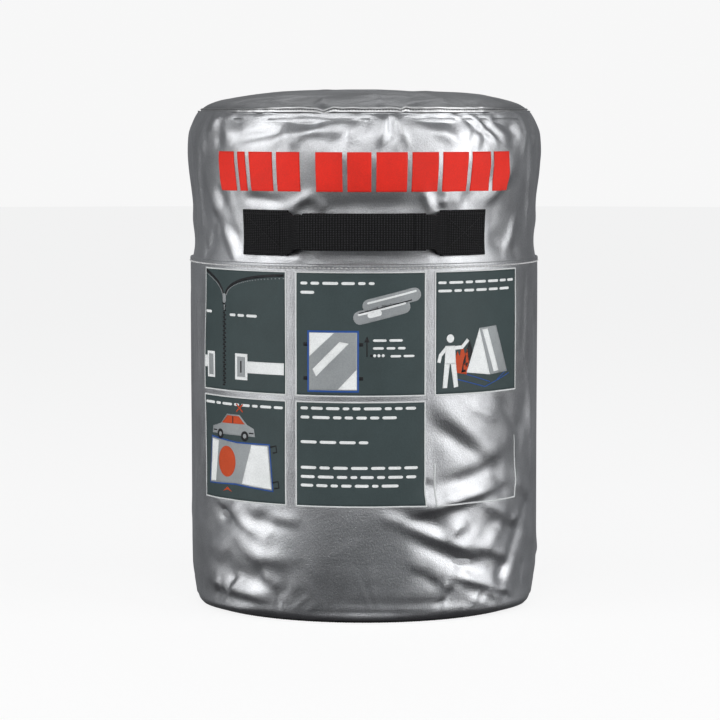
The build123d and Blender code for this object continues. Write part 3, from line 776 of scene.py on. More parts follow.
def stroke(points, width):
    """A line through points as one thick shape."""
    p = np.array(points, float)
    way = unit(np.gradient(p, axis=0))
    side = np.stack([-way[:, 1], way[:, 0]], axis=1) * width / 2
    return [tuple(q) for q in np.concatenate([p + side, (p - side)[::-1]])]


def curve(points, count=14):
    """Points along a quadratic curve with three control points."""
    a, b, c = (np.array(q, float) for q in points)
    return [tuple(a * (1 - t) ** 2 + 2 * b * t * (1 - t) + c * t * t) for t in np.linspace(0, 1, count)]


def pill(x, y, length, width, angle, count=8):
    """A rounded bar, leaning by an angle."""
    half, ring = length / 2 - width / 2, []
    for side in (1, -1):
        for k in range(count + 1):
            turn = math.pi * (k / count - 0.5 * side)
            ring.append((side * half + width / 2 * math.cos(turn), width / 2 * math.sin(turn)))
    c, s = math.cos(math.radians(angle)), math.sin(math.radians(angle))
    return [(x + px * c - py * s, y + px * s + py * c) for px, py in ring]


def dummy_text(x0, x1, y, size, seed):
    """A line of plain dashes in word-like lengths; it holds no letters."""
    draw = np.random.default_rng(seed)
    shapes, x = [], x0
    while x < x1 - size:
        length = min(draw.uniform(1.1, 3.2) * size, x1 - x)
        shapes.append(pill(x + length / 2, y + size * 0.36, length, size * 0.5, 0, 3))
        x += length + size * 0.5
    return shapes


art = {name: [] for name in ART_INKS}


def draw_on(panel, level, **shapes_by_ink):
    """Adds shapes to a numbered panel; those of a higher level lie on top."""
    low, _, start, _ = windows[panel - 1]
    for name, shapes in shapes_by_ink.items():
        art[name].append(((start, low), INK_LIFT + INK_T + 0.10 * (level - 1), shapes))


# panel 1: a zip that is pulled up, and two strap ends to buckle
teeth = [rect(37.4 + 1.8 * (k % 2), 6 + 2.5 * k, 41.6 + 1.8 * (k % 2), 7.9 + 2.5 * k) for k in range(39)]
arms = [stroke(curve(((39.4, 105), (36, 122), (2, 133))), 3.0),
        stroke(curve(((41.6, 105), (47, 128), (127, 131))), 3.0)]
arm_teeth = [pill(x, y, 1.8, 1.0, 0, 2)
             for path in (((37, 107), (33, 120), (2, 129.6)), ((44.4, 107), (50, 124.6), (127, 127.6)))
             for x, y in curve(path, 30)]
straps = [rect(75, 22, 127, 35), rect(1.4, 25, 10, 38)]
buckles = [rect(59, 14, 78, 17.5), rect(59, 39.5, 78, 43), rect(59, 17.5, 62.5, 39.5),
           rect(74.5, 17.5, 78, 39.5), rect(8, 14, 10.8, 43), rect(19.5, 14, 22.3, 43),
           rect(10.8, 14, 19.5, 17), rect(10.8, 40, 19.5, 43)]
draw_on(1, 1, black=teeth + arms, grey=arm_teeth + [stroke([(40.4, 96), (40.4, 90)], 1.6)],
        white=dummy_text(3, 24, 85, 6.0, 1) + dummy_text(50, 92, 83, 6.0, 2) + straps)
draw_on(1, 2, white=buckles,
        grey=[pill(40.4, 103, 11, 6, 90), rect(62.5, 17.5, 74.5, 39.5), rect(10.8, 17, 19.5, 40)])
draw_on(1, 3, black=[rect(67.2, 22, 69.2, 35)])

# panel 2: two packed blankets, and one laid out flat with its four pull tabs
text = [(6, 88, 121, 6.4), (6, 22, 111, 6.4), (86, 124, 59.5, 5.4), (86, 122, 51, 5.4), (105, 132, 42.5, 5.0)]
dashes = [dash for seed, line in enumerate(text, 3) for dash in dummy_text(*line, seed)]
tabs = [rect(x0, y, x1, y + 4) for x0, x1 in ((9.6, 14), (71, 75.6)) for y in (18, 55)]
arrow = [rect(79, 44, 80.4, 60), [(76.6, 59.5), (82.8, 59.5), (79.7, 66)]]
draw_on(2, 1, white=dashes + [disc(88 + 4.6 * k, 45, 1.7, count=10) for k in range(3)],
        grey=[pill(107, 105, 66, 15, 14), pill(96, 92, 64, 15, 14)], blue=[rect(14, 5, 71, 72)],
        black=tabs + arrow + [disc(84.4, 45, 1.5, count=10)])
draw_on(2, 2, white=[pill(107, 108.4, 56, 2.2, 14), pill(96, 95.4, 54, 2.2, 14), pill(88, 90, 16, 6, 14)],
        grey=[rect(16, 7, 69, 70)], black=[pill(100, 98, 60, 1.2, 14)])
draw_on(2, 3, white=[[(16.5, 44), (16.5, 69.5), (44, 69.5)], [(20, 30), (50, 60), (60, 58), (24, 22)],
                     [(48, 8), (68.5, 30), (68.5, 8)]])

# panel 3: a plain figure pulls the blanket over a fire
flame = [(27, 24), (24, 36), (28, 48), (31, 42), (34, 56), (38, 44), (41, 50), (43, 34), (40, 22)]
smoke = [(33, 24), (36, 38), (41, 50), (44, 60), (49, 44), (48, 26)]
head_and_body = [disc(19, 62, 4.6), [(13, 54), (25, 54), (26, 34), (12, 34)]]
legs = [[(12, 35), (18.4, 35), (15, 8), (9.6, 8)], [(19.4, 35), (26, 35), (29, 9), (23.6, 8)]]
hands = [stroke([(23, 51.5), (34, 52), (42, 60)], 4.2), stroke([(14.5, 52), (7, 44), (5, 36)], 4.0)]
ground = [stroke([(28, 17), (66, 7), (108, 20)], 1.1), stroke([(40, 22), (74, 12)], 1.0),
          stroke([(86, 14), (104, 24)], 1.0)]
draw_on(3, 1, white=dummy_text(4, 116, 121, 5.8, 8) + dummy_text(4, 112, 112, 5.8, 9),
        orange=[flame], black=[smoke], blue=ground)
draw_on(3, 2, white=[[(58, 72), (40, 24), (74, 20)]], grey=[[(58, 72), (84, 74), (104, 22), (74, 20)]])
draw_on(3, 3, white=[[(62, 70), (70, 71), (88, 24), (80, 23)]] + head_and_body + legs + hands)

# panel 4: a car on fire, and the blanket spread over the burning part
car = [(17, 73), (18, 81), (34, 85), (45, 96), (66, 96), (77, 86), (87, 82), (89, 73)]
windscreen = [(36, 85.5), (46, 94.5), (65, 94.5), (74, 86)]
loops = [stroke([(109, 63), (117, 65), (118, 58), (113, 57)], 1.8),
         stroke([(112, 24), (120, 26), (121, 19), (115, 18)], 1.8)]
edge = [(10.4, 16), (15, 70), (62, 66), (109, 66.5), (114, 14), (60, 18)]
sheet = [(12, 17.4), (16.4, 68.2), (62, 64.4), (107.6, 64.8), (112.4, 15.6), (60, 19.6)]
draw_on(4, 1, white=dummy_text(3, 126, 105, 6.0, 10), grey=[car], blue=[edge], black=loops,
        orange=[[(38, 9.4), (46, 15), (53, 9.4), (46, 11.6)]])
draw_on(4, 2, orange=[windscreen, stroke([(61, 99.5), (71, 108)], 1.7)], grey=[sheet],
        black=[disc(33, 73, 5.6), disc(74, 73, 5.6), rect(19, 76, 26, 77.4), rect(80, 76, 87, 77.4)])
draw_on(4, 3, orange=[stroke([(61, 108), (71, 99.5)], 1.7), disc(45, 43, 15, 1.15, 36)],
        grey=[disc(33, 73, 2.6, count=12), disc(74, 73, 2.6, count=12)], black=[rect(54.6, 86, 56, 94)],
        white=[[(13.5, 19), (17, 66.5), (30, 65.5), (24, 19.6)],
               [(70, 20), (84, 64), (106, 63.6), (111, 17)]])

# panel 5: lines of directions
for seed, (end, row) in enumerate(((134, 106), (116, 96), (88, 69), (136, 41), (138, 31), (118, 21.5)), 11):
    draw_on(5, 1, white=dummy_text(6, end, row, 6.4, seed))

for name, sets in art.items():
    parts = [laid_shapes(lower, corner, shapes, lift, 0.12) for corner, lift, shapes in sets]
    add_piece(f"panel_art_{name}", joined(parts), ART_INKS[name], "bag")


# ---- stitches ----
STITCH_SIDES = 6
STITCH_FORM = ((-0.5, 0.15), (-0.36, 0.85), (0.0, 1.0), (0.36, 0.85), (0.5, 0.15))  # place along it, size


def stitch_mesh(points, along, out, length, radius):
    """One small thread capsule at each point, its ends sunk into the cloth."""
    side = np.cross(along, out)
    rows = []
    for place, size in STITCH_FORM:
        centre = points + along * length * place + out * radius * (0.35 if abs(place) < 0.4 else -0.3)
        for turn in np.linspace(0, 2 * math.pi, STITCH_SIDES, endpoint=False):
            rows.append(centre + (side * math.cos(turn) + out * math.sin(turn)) * radius * size)
    capsules = np.stack(rows, axis=1)
    count = len(rows)
    _, one = swept(capsules[0].reshape(len(STITCH_FORM), STITCH_SIDES, 3), flip=True)
    faces = [[i + count * k for i in face] for k in range(len(points)) for face in one]
    return capsules.reshape(-1, 3), faces


def wall_stitches(wall, line, pitch, length, radius, lift):
    """Stitches along a line of (azimuth, z) points on a wall."""
    line = np.array(line, float)
    run = run_along(line * (MM_PER_DEG, 1))
    at = np.arange(pitch / 2, run[-1], pitch)

    def on_line(where):
        return wall.place(np.interp(where, run, line[:, 0]), np.interp(where, run, line[:, 1]), lift)

    along = unit(on_line(at + 0.5) - on_line(at - 0.5))
    out = around(np.interp(at, run, line[:, 0]), 1.0, 0.0)
    return stitch_mesh(on_line(at), along, out, length, radius)


lap = wall_stitches(lower, [(az, SEAM_Z) for az in range(-180, 181, 3)], 4.8, 3.1, 0.8, 0.4)
add_piece("lap_stitches", lap, pale_thread, "bag")

# the back seams: a strip over each wall's closing edge, sewn down both sides
for wall, node in ((lower, "lower_back_seam"), (upper, "upper_back_seam")):
    low, high = heights(node)
    strip = patch(wall, low, high, 176.4, 183.6, 0.05, 0.75)
    add_piece(f"{node}_cloth", strip, silver, "bag", (node,))
    rows = [wall_stitches(wall, [(side, z) for z in np.arange(low + 2, high - 1, 8)], 3.4, 2.4, 0.4, 0.85)
            for side in (177.4, 182.6)]
    add_piece(f"{node}_stitches", joined(rows), grey_thread, "bag")

# ---- webbing ----
RIB = 3.0
RIB_STEP = RIB / 6
UP = (0.0, 0.0, 1.0)


def ribbon(path, width_way, width, thick, rows, closed=False, dome=0.0):
    """Ribbed webbing swept along a path, with its width along a given direction."""
    way = unit(np.roll(path, -1, axis=0) - np.roll(path, 1, axis=0) if closed else np.gradient(path, axis=0))
    normal = unit(np.cross(way, width_way))
    width_way = np.broadcast_to(np.asarray(width_way, float), path.shape)
    run = run_along(path)
    width = np.broadcast_to(np.asarray(width, float), run.shape)
    ribs = 0.5 + 0.5 * np.cos(2 * math.pi * run / RIB)
    ribs = ribs * (0.16 + 0.10 * (np.cos(2 * math.pi * run / (3 * RIB)) > 0.4))
    across = np.sin(np.linspace(-math.pi / 2, math.pi / 2, rows)) * 0.5
    rings, uv = [], []
    for y, side in [(y, 1) for y in across] + [(y, -1) for y in across[::-1]]:
        edge = math.sqrt(max(1 - (abs(y) / 0.5) ** 8, 0.0))
        lift = (thick / 2 * (0.35 + 0.65 * edge) + dome * (1 - (2 * y) ** 2) + ribs * edge) * side
        rings.append(path + normal * lift[:, None] + width_way * (y * width)[:, None])
        uv.append(np.stack([run, y * width + (0 if side > 0 else 60)], axis=-1))
    return (*swept(np.stack(rings, axis=1), flip=True, closed=closed), np.stack(uv, axis=1).reshape(-1, 2))


def anchor_layer(side, inner, outer, height, lift):
    """One layer of an anchor, which takes the wall's own depth all over."""
    az = np.sort(np.linspace(inner, outer, int((outer - inner) * MM_PER_DEG / RIB_STEP) + 1) * side)
    verts, faces, uv = ribbon(upper.place(az, ANCHOR_MID, lift), UP, height, 1.25, 26)
    turn = np.degrees(np.arctan2(verts[:, 0], -verts[:, 1]))
    depth = upper.place(turn, verts[:, 2], 0.0) - upper.place(turn, ANCHOR_MID, 0.0)
    return verts + depth * (1, 1, 0), faces, uv


STITCH_INSET, STITCH_MARGIN = 3.52 / MM_PER_DEG, 4.5
for side, name in ((-1, "left"), (1, "right")):
    layers = [anchor_layer(side, ANCHOR_INNER, ANCHOR_OUTER, 49.6, 0.75),
              anchor_layer(side, ANCHOR_INNER + 0.4, ANCHOR_OUTER - 0.5, 49.0, 2.1)]
    node = f"handle_anchor_{name}"
    add_piece(f"anchor_webbing_{name}", joined(layers), webbing, "bag", (node,))
    low, high = ANCHOR_LOW + STITCH_MARGIN, ANCHOR_HIGH - STITCH_MARGIN
    a, b = side * (ANCHOR_INNER + STITCH_INSET), side * (ANCHOR_OUTER - STITCH_INSET)
    box = [(a, low), (b, low), (b, high), (a, high), (a, low)]
    lines = [*zip(box, box[1:]), (box[0], box[2]), (box[1], box[3])]
    rows = [wall_stitches(upper, line, 3.0, 2.2, 0.45, 2.9) for line in lines]
    add_piece(f"anchor_stitches_{name}", joined(rows), black_thread, "bag")

# the grip: a strap that bows out between the anchors, wrapped over its middle
BOW_FRONT, BOW_R = -222.0, 206.0
GRIP_RISE = 2.6  # the stiff grip stands a little above its anchors
FOOT = around(24.4, 197.26, 0.0)[:2]  # where a leg leaves its anchor
SPLIT = (FOOT[0] + (72.0 - FOOT[0]) * 18.0 / 29.4, FOOT[1] - 18.0)  # from here a leg goes with the grip
WRAP_HALF = 66.0


def bow(x):
    """The grip's front line: its y at an x."""
    return BOW_FRONT + BOW_R - np.sqrt(BOW_R**2 - np.asarray(x, float) ** 2)


for side, name in ((-1, "left"), (1, "right")):
    plan = smooth_path([(FOOT[0] + 9.0, FOOT[1] + 3.4), (FOOT[0] + 3.5, FOOT[1] + 0.4),
                        (FOOT[0] - 1.6, FOOT[1] - 4.5), (77.4, -192.0), (74.6, -201.5), (70.4, -208.4),
                        (64.0, bow(64.0)), (56.0, bow(56.0))], RIB_STEP)
    rise = GRIP_RISE * smoothstep(-plan[:, 1], 185.0, 208.0)
    path = np.stack([plan[:, 0] * side, plan[:, 1], ANCHOR_MID + rise], axis=-1)
    t = np.linspace(0, 1, len(path))
    height = 48.0 - 10.5 * smoothstep(t, 0.02, 0.55) - 1.5 * hump(t, 0.36, 0.12)
    leg = ribbon(path[::-side], UP, height[::-side], 2.5, 20, dome=0.5)
    stands_for = ("handle_strap_ends", "handle_strap") if side < 0 else ()
    piece = add_piece(f"strap_leg_{name}", leg, webbing, replaced=stands_for)
    start, end = ((side * x / 1000, y / 1000, ANCHOR_MID / 1000) for x, y in (FOOT, SPLIT))
    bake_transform(piece)


def grip_cover(start, end, count, forward, height, thick, dome=0.0):
    """Webbing that follows the grip's bow between two x places."""
    x = np.linspace(start, end, count)
    path = np.stack([x, bow(x) - forward, ANCHOR_MID + GRIP_RISE + 0 * x], axis=-1)
    return ribbon(path, UP, height, thick, 26, dome=dome)


grip_height = GRIP_HIGH - GRIP_LOW + 1.4
wrap = grip_cover(-WRAP_HALF, WRAP_HALF, int(2 * WRAP_HALF / RIB_STEP) + 1, 0.0, grip_height, 5.4, 0.35)
# the wrap's free end is turned over near its right end and stands a little proud
flap = grip_cover(55.0, 61.6, 19, 3.1, grip_height - 0.4, 1.5)
cover = joined([wrap, flap])
add_piece("grip_wrap_webbing", cover, webbing, "handle", ("handle_grip_wrap",))

# reinforcing patches behind the anchors, inside the wall
backing = []
for side in (-1, 1):
    az = np.sort(np.linspace(ANCHOR_INNER - 2, ANCHOR_OUTER + 2, 170) * side)
    backing.append(ribbon(around(az, 191.0, ANCHOR_MID), UP, 50.0, 0.9, 8))
add_piece("handle_backing_webbing", joined(backing), webbing, "bag", ("handle_backing",))

# ---- lid: one sheet for the lid and its sewn-down rear part, its creases calmed along the line between them ----
LID_R, LID_THICK = 185.2, 1.4
LID_PROFILE = (
    (0.0, 0.0), (60.0, 0.8), (110.0, 3.6), (145.0, 7.6), (162.0, 10.8), (173.0, 14.2), (180.0, 17.6),
    (184.0, 20.4), (LID_R, 21.6),
)  # radius, and drop below the lid's top
# each fold: its two ends in plan, then width and height
LID_FOLDS = (
    ((-100, -140), (-60, -128), 6, 1.6), ((-20, -172), (24, -150), 6, -1.6),
    ((50, -170), (84, -140), 6, 1.7), ((-140, -96), (-100, -110), 7, -1.6), ((-8, -140), (50, -132), 8, 1.5),
    ((-120, -120), (-84, -150), 6, 1.4), ((-150, -90), (-60, -120), 9, 1.6),
    ((-60, -168), (-30, -110), 7, -1.8), ((-46, -176), (-44, -140), 5, 1.8),
    ((20, -178), (10, -130), 6, 1.5), ((34, -176), (60, -120), 7, -1.6), ((90, -150), (60, -90), 9, 1.6),
    ((-120, -20), (40, -60), 16, 1.6), ((-90, 60), (80, 20), 18, -1.4), ((40, 60), (140, -10), 14, 1.8),
    ((-140, 40), (-80, 110), 10, 1.4), ((20, 90), (110, 100), 12, -1.2), ((-30, -90), (60, -110), 10, 1.2),
    ((120, -120), (150, -60), 9, 1.5), ((-170, 10), (-120, 30), 9, -1.4), ((-20, 20), (30, 110), 16, 1.1),
    ((150, 60), (110, 120), 8, 1.2),
)


def dome(r):
    """Height of the lid over its radius: nearly flat, and rounded down at its edge."""
    path = smooth_path(LID_PROFILE, 1.0)
    return LID_TOP_Z - np.interp(r, path[:, 0], path[:, 1])


def lid_relief(r, az):
    turn = np.radians(az)
    x, y = np.sin(turn) * r, -np.cos(turn) * r
    total = sum(crease(x, y, *line, 0.7) for line in LID_FOLDS)
    draw = np.random.default_rng(31)
    for _ in range(60):
        px, py = draw.uniform(-165, 165, 2)
        lean, length = draw.uniform(0, math.pi), draw.uniform(15, 50)
        dx, dy = math.cos(lean) * length / 2, math.sin(lean) * length / 2
        width, height = draw.uniform(4, 9), draw.uniform(0.15, 0.5) * draw.choice([-1, 1])
        total += crease(x, y, (px - dx, py - dy), (px + dx, py + dy), width, height)
    # small gathers all round where the rim's stitches draw it in, and calm cloth along the fold
    total += 0.25 * np.sin(turn * 96) * smoothstep(r, 165, 180)
    return total * (1 - smoothstep(r, 176, LID_R)) * (1 - 0.8 * hump(y, FOLD_Y, 7.0))


lid_az = np.arange(-180, 180, 1.0)
lid_r = np.concatenate([np.arange(2.5, 172, 2.5), np.linspace(172.5, LID_R, 9)])
r, az = np.meshgrid(lid_r, lid_az, indexing="ij")
lid_top = around(az, r, dome(r) + np.maximum(lid_relief(r, az), -2.0))
r, az = np.meshgrid(np.linspace(LID_R - 0.2, 3.0, 30), lid_az, indexing="ij")
lid_under = around(az, r, dome(r) + np.minimum(lid_relief(r, az), 0) - LID_THICK)
middles = [[0, 0, dome(0)], [0, 0, dome(0) - LID_THICK]]
lid_skin = disc_skin(np.concatenate([lid_top, lid_under]), middles, flip=True)
lid_nodes = ("lid_panel", "lid_rear_panel")
lid = add_piece("lid_cloth", lid_skin, silver_lid_painted_shade, replaced=lid_nodes)
fold_z = dome(FOLD_Y) / 1000
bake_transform(lid)

# ---- rim band: a folded lip with a piped upper edge, drawn in at two puckers ----
RIM_PROFILE = np.array((
    (184.2, -3.4), (184.9, -2.0), (185.9, -1.6), (186.9, -2.2), (187.2, -3.2), (186.9, -4.2), (186.3, -4.8),
    (186.4, -5.4), (187.0, -6.2), (187.3, -7.2), (187.0, -8.0), (186.3, -8.5), (185.6, -8.4), (185.2, -7.4),
    (184.8, -5.0),
))  # radius, and height from the lid's edge


def rim_waves(draw, az, low, high, counts):
    return sum(draw.uniform(low, high) * np.sin(np.radians(az) * k + draw.uniform(0, 6.3)) for k in counts)


def rim_band(start, end):
    draw = np.random.default_rng(41)
    az = np.arange(start, end + 0.01, 0.5)
    waver = rim_waves(draw, az, 0.1, 0.26, (5, 9, 14, 23, 37, 61))
    swell = rim_waves(draw, az, 0.05, 0.13, (11, 19, 42, 73, 120))
    notch = -3.0 * hump(az, -13.8, 1.7, 1.3) + 0.9 * hump(az, -10.2, 1.6)
    notch += -1.2 * hump(az, 12.2, 0.8) + 1.0 * hump(az, 14.0, 0.9)
    flat = smoothstep(az, 44, 56) + 1 - smoothstep(az, -40, -27)  # it lies flatter at both sides
    rings = []
    for k, (r, rise) in enumerate(RIM_PROFILE):
        radius = r - (r - 184.8) * 0.55 * flat + 0.8 * swell + 0.25 * (notch > 0.4)
        z = LID_EDGE_Z + rise + (waver * 0.5 + notch) * (0.4 + 0.6 * (k < 9)) - 2.0 * flat * (k < 5)
        rings.append(around(az, radius, z))
    uv = np.stack(np.broadcast_arrays(az[:, None] * MM_PER_DEG, run_along(RIM_PROFILE)), axis=-1)
    return (*swept(np.stack(rings, axis=1)), uv.reshape(-1, 2))


for name, node, body, start, end in (("rim_lip", "lid_rim_band", "lid", -142.2, 142.2),
                                     ("rear_rim_lip", "rear_rim_band", "bag", 145.2, 214.8)):
    add_piece(name, rim_band(start, end), silver_lip_painted_highlight, body, (node,))
    az = np.arange(start + 0.6, end - 0.6, 1.02)
    along, out = around(az + 90, 1.0, 0.0), around(az, 1.0, 0.0)
    stitches = stitch_mesh(around(az, 186.5, LID_EDGE_Z - 5.0), along, out, 2.2, 0.32)
    add_piece(f"{name}_stitches", stitches, grey_thread, body)


# ---- zip ----
def turned(profile, start, end, step, waviness, flip=False):
    """A closed (radius, z) profile turned about the bag's axis, a little uneven."""
    az = np.arange(start, end + step / 2, step)
    rows = [around(az, r + waviness * np.sin(az * 2.1 + k), z) for k, (r, z) in enumerate(profile)]
    return swept(np.stack(rows, axis=1), flip)


def zip_tape(half, body):
    """One tape, as tall as its CAD node, turned about the bag's axis at the zip's radius."""
    node = f"zip_tape_{half}"
    rows = [(0.04 * math.sin(3 * k), z) for k, z in enumerate(np.linspace(*heights(node), 8))]
    profile = [(ZIP_R - TAPE_HALF_T + wave, z) for wave, z in rows[::-1]]
    profile += [(ZIP_R + TAPE_HALF_T + wave, z) for wave, z in rows]
    tape = turned(profile, -ZIP_ARC, ZIP_ARC, 1.0, 0.05, flip=True)
    piece = add_piece(f"{node}_cloth", tape, webbing_fine, body, (node,))


TAPE_HALF_T = 0.25
zip_tape("lower", "bag")
zip_tape("upper", "lid")

COIL_PITCH, COIL_HALF, COIL_WIRE, COIL_SIDES = 1.5, 0.72, 0.3, 5


def coil(half, body):
    """A wound nylon coil, which stands for one row of teeth."""
    node = f"zip_coil_{half}"
    low, high = heights(node)
    turns = int(2 * ZIP_ARC * math.pi / 180 * ZIP_R / COIL_PITCH)
    t = np.linspace(0, turns, turns * 10 + 1)
    az, phase = -ZIP_ARC + 2 * ZIP_ARC * t / turns, 2 * math.pi * t
    z = (low + high) / 2 + ((high - low) / 2 - COIL_WIRE) * np.sin(phase)
    centre = around(az, ZIP_R + COIL_HALF * np.cos(phase), z)
    way = unit(np.gradient(centre, axis=0))
    one = unit(np.cross(way, around(az, 1.0, 0.0)))
    two = np.cross(way, one)
    rings = [centre + COIL_WIRE * (one * math.cos(a) + two * math.sin(a))
             for a in np.linspace(0, 2 * math.pi, COIL_SIDES, endpoint=False)]
    add_piece(f"{node}_wire", swept(np.stack(rings, axis=1)), coil_nylon, body, (node,))


coil("lower", "bag")
coil("upper", "lid")

# end tabs: folded cloth over both ends of the tapes
TAB_HALF_T, TAB_ARC = 2.2, 2.4
low, high = heights("zip_end_tabs")
tab_turns = np.linspace(0, 2 * math.pi, 24, endpoint=False)
tab_form = [(ZIP_R - 1.8 + TAB_HALF_T * bent(math.cos(a), 0.6),
             (low + high) / 2 + ((high - low) / 2 - 0.1) * bent(math.sin(a), 0.35)) for a in tab_turns]
tabs = [turned(tab_form[::-1], start, start + TAB_ARC, 0.3, 0.08) for start in (-145.3, 142.9)]
add_piece("zip_end_tab_folds", joined(tabs), silver, "bag", ("zip_end_tabs",))

# the hard pieces are shown as the CAD has them
for node, material in (("zip_stops", zip_metal), ("zip_slider", zip_metal), ("zip_pull_link", zip_metal),
                       ("zip_pull_grip", grip_rubber)):
    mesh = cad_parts[node].data
    mesh.materials.clear()
    mesh.materials.append(material)

# ---- base ----
base_r = reach("base_panel")
r, az = np.meshgrid([*np.arange(3.0, base_r, 5.0), base_r], np.arange(-180, 180, 2.0), indexing="ij")
swell = 0.18 * np.sin(np.radians(az) * 5 + r / 23) + 0.12 * np.sin(np.radians(az) * 9 - r / 15)
floor_side = around(az, r, np.maximum(0.25 + swell * (r < base_r - 2), 0.02))
top_side = around(az, r, 1.75 + swell)
base_skin = disc_skin(np.concatenate([floor_side, top_side[::-1]]), [[0, 0, 0.3], [0, 0, 1.8]])
base = add_piece("base_cloth", base_skin, silver_base, "bag", ("base_panel",))

az = np.arange(-180, 180, 0.12)
out = around(az, 1.0, 0.0)
binding = ribbon(around(az, reach("base_binding") - 2.35, 1.0), out, 4.5, 1.5, 5, closed=True)
binding[0][:, 2] = np.clip(binding[0][:, 2], 0.0, 2.2)
add_piece("base_binding_tape", binding, webbing, "bag", ("base_binding",))

# ---- contents: the folded blanket's spiral roll, of half turns about two centres in turn ----
CORE_R, FOLD_T, HALF_PITCH, HALF_TURNS, LAYERS = 20.0, 11.0, 5.8, 26, 11
spine, spine_out = [], []
for k in range(HALF_TURNS):
    radius = CORE_R + FOLD_T / 2 + k * HALF_PITCH
    count = max(int(math.pi * radius / 5.0), 14)
    turn = np.linspace(0, math.pi, count, endpoint=k == HALF_TURNS - 1) + math.pi * (k % 2)
    out = np.stack([np.cos(turn), np.sin(turn)], axis=-1)
    spine.append(out * radius + (HALF_PITCH * (k % 2 - 1), HALF_PITCH / 2))
    spine_out.append(out)
spine, spine_out = np.concatenate(spine), np.concatenate(spine_out)
spine_run = run_along(spine)


def roll_strip(section, wobble=0.0):
    """A closed (across, z) section swept along the spiral, its upper edge a little wavy."""
    rings, uv = [], []
    for k, (t, z) in enumerate(section):
        wave = wobble * np.sin(spine_run / 37.0 + k * 0.9) * (z > ROLL_HIGH - 30)
        rings.append(np.column_stack([spine + spine_out * t, z + wave]))
        uv.append(np.column_stack([spine_run, np.full(len(spine_run), z + t)]))
    return (*swept(np.stack(rings, axis=1)), np.stack(uv, axis=1).reshape(-1, 2))


half = FOLD_T / 2
flank = (ROLL_HIGH - 4, ROLL_HIGH - 60, 200.0, ROLL_LOW + 3)
section = [(t, ROLL_HIGH - 2.3 + 1.7 * math.sqrt(abs(math.sin(math.pi * (t + half) * LAYERS / FOLD_T))))
           for t in np.linspace(-half + 0.15, half - 0.15, LAYERS * 4 + 1)]
section += [(half, z) for z in flank]
section += [(half - 0.8, ROLL_LOW + 0.3), (0.0, ROLL_LOW), (-half + 0.8, ROLL_LOW + 0.3)]
section += [(-half, z) for z in flank[::-1]]
roll = add_piece("blanket_roll_cloth", roll_strip(section, 0.35), blanket_cloth, "bag",
                 ("blanket_roll",))

inner, outer, upper_z, lower_z = half + 0.12, half + 0.42, ROLL_HIGH - 2.4, ROLL_HIGH - 25
edge_tape = roll_strip([(inner, upper_z), (outer, upper_z), (outer, lower_z), (inner, lower_z)])
add_piece("blanket_binding_tape", edge_tape, blue_tape, "bag", ("blanket_edge_binding",))

loops = []
for azimuth, radius in ((20.0, 118.0), (200.0, 118.0), (110.0, 56.0), (290.0, 56.0)):
    ring = [(radius + 44.8 * bent(math.cos(a), 0.8), ROLL_HIGH + 3.9 + 2.7 * bent(math.sin(a), 0.7))
            for a in np.linspace(0, 2 * math.pi, 48, endpoint=False)]
    ring = np.array(ring + ring[:1])
    run = run_along(ring)
    even = np.linspace(0, run[-1], int(run[-1] / RIB_STEP), endpoint=False)
    path = around(azimuth, *(np.interp(even, run, ring[:, k]) for k in (0, 1)))
    loops.append(ribbon(path, around(azimuth + 90, 1.0, 0.0), 24.6, 1.0, 8, closed=True))
add_piece("pull_loop_webbing", joined(loops), webbing, "bag", ("blanket_pull_loops",))


# ---- stage ----
def stage_look(name, grey, emission):
    look = Look(name)
    for socket, value in (("Base Color", (grey, grey, grey, 1)), ("Roughness", 0.9),
                          ("Emission Color", (1, 1, 1, 1)), ("Emission Strength", emission)):
        look.put(look.shader, socket, value)
    return look.owner


bpy.ops.mesh.primitive_circle_add(vertices=96, radius=14.0, fill_type="NGON", location=(0, 0, 0))
floor = bpy.context.object
floor.name = "stage_floor"
floor.data.materials.append(stage_look("stage_floor", 0.16, 0.85))
bpy.ops.mesh.primitive_uv_sphere_add(segments=64, ring_count=32, radius=13.9, location=(0, 0, 0))
backdrop = bpy.context.object
backdrop.name = "stage_backdrop"
backdrop.data.materials.append(stage_look("stage_backdrop", 0.0, 0.93))
for obj in (floor, backdrop):
    obj.visible_glossy = False
    obj.visible_shadow = False
backdrop.visible_diffuse = False


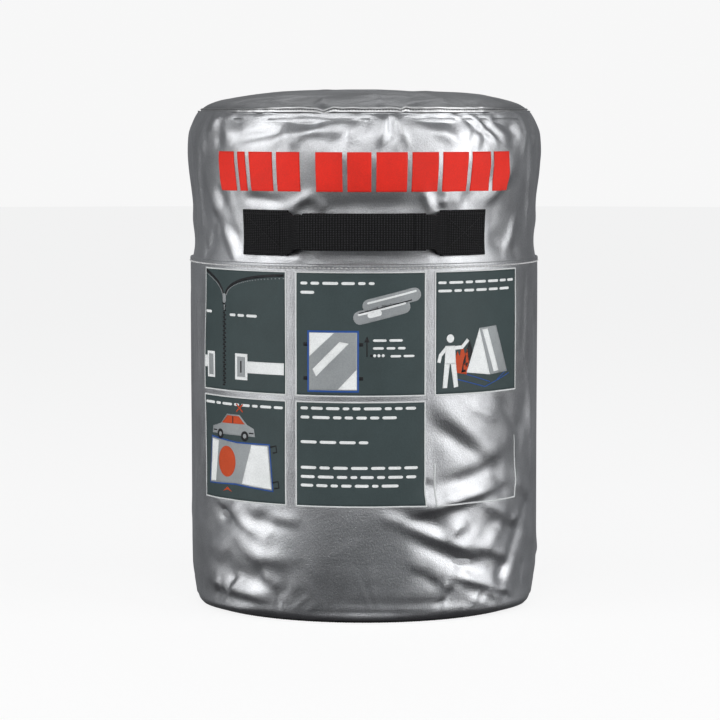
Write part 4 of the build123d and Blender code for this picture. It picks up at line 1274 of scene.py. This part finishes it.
def softbox(name, azimuth, elevation, distance, width, height, radiance):
    """A soft area light, in metres, that looks at the middle of the bag from an azimuth and elevation."""
    light = bpy.data.lights.new(name, "AREA")
    light.shape = "RECTANGLE"
    light.size, light.size_y = width, height
    light.energy = radiance * math.pi * width * height
    lamp = bpy.data.objects.new(name, light)
    bpy.context.scene.collection.objects.link(lamp)
    rise = math.radians(elevation)
    lamp.location = around(azimuth, distance * math.cos(rise), 0.3 + distance * math.sin(rise))
    lamp.rotation_euler = (math.pi / 2 - rise, 0, math.radians(azimuth))
    lamp.visible_camera = False


softbox("left_softbox", -62, 22, 2.6, 1.8, 2.1, 2.0)
softbox("left_low_softbox", -78, -12, 2.6, 1.3, 0.8, 0.8)
softbox("right_softbox", 64, 16, 2.6, 1.9, 2.7, 1.9)
softbox("front_softbox", 0, 31, 3.6, 2.7, 2.7, 1.5)
softbox("back_softbox", 180, 52, 3.2, 2.4, 1.4, 0.6)

# the world: dim grey above, fading to nearly black below
bpy.context.scene.world = bpy.data.worlds.new("studio")
sky = NodeTree(bpy.context.scene.world)
height = sky.add("SeparateXYZ", "Z", {"Vector": sky.add("TexCoord", "Generated", {})})
fade = sky.add("MapRange", "Result", {"Value": height, "From Min": -0.6, "From Max": 0.0})
sky_stops = [(0.1, (0.03, 0.03, 0.032)), (0.75, (0.15, 0.154, 0.16))]
sky.put(sky.nodes["Background"], "Color", sky.ramp(fade, sky_stops))
sky.nodes["Background"].inputs["Strength"].default_value = 1.0

CAMERA_DISTANCE, CAMERA_Z, AIM_Z = 3.5, 0.564, 0.274
camera = bpy.data.objects.new("camera", bpy.data.cameras.new("camera"))
bpy.context.scene.collection.objects.link(camera)
camera.location = (-0.0046, -CAMERA_DISTANCE, CAMERA_Z)
camera.rotation_euler = (math.pi / 2 - math.atan2(CAMERA_Z - AIM_Z, CAMERA_DISTANCE), 0, 0)
camera.data.lens = 153
camera.data.sensor_width = 36
bpy.context.scene.camera = camera
bpy.context.scene.view_settings.view_transform = "Standard"
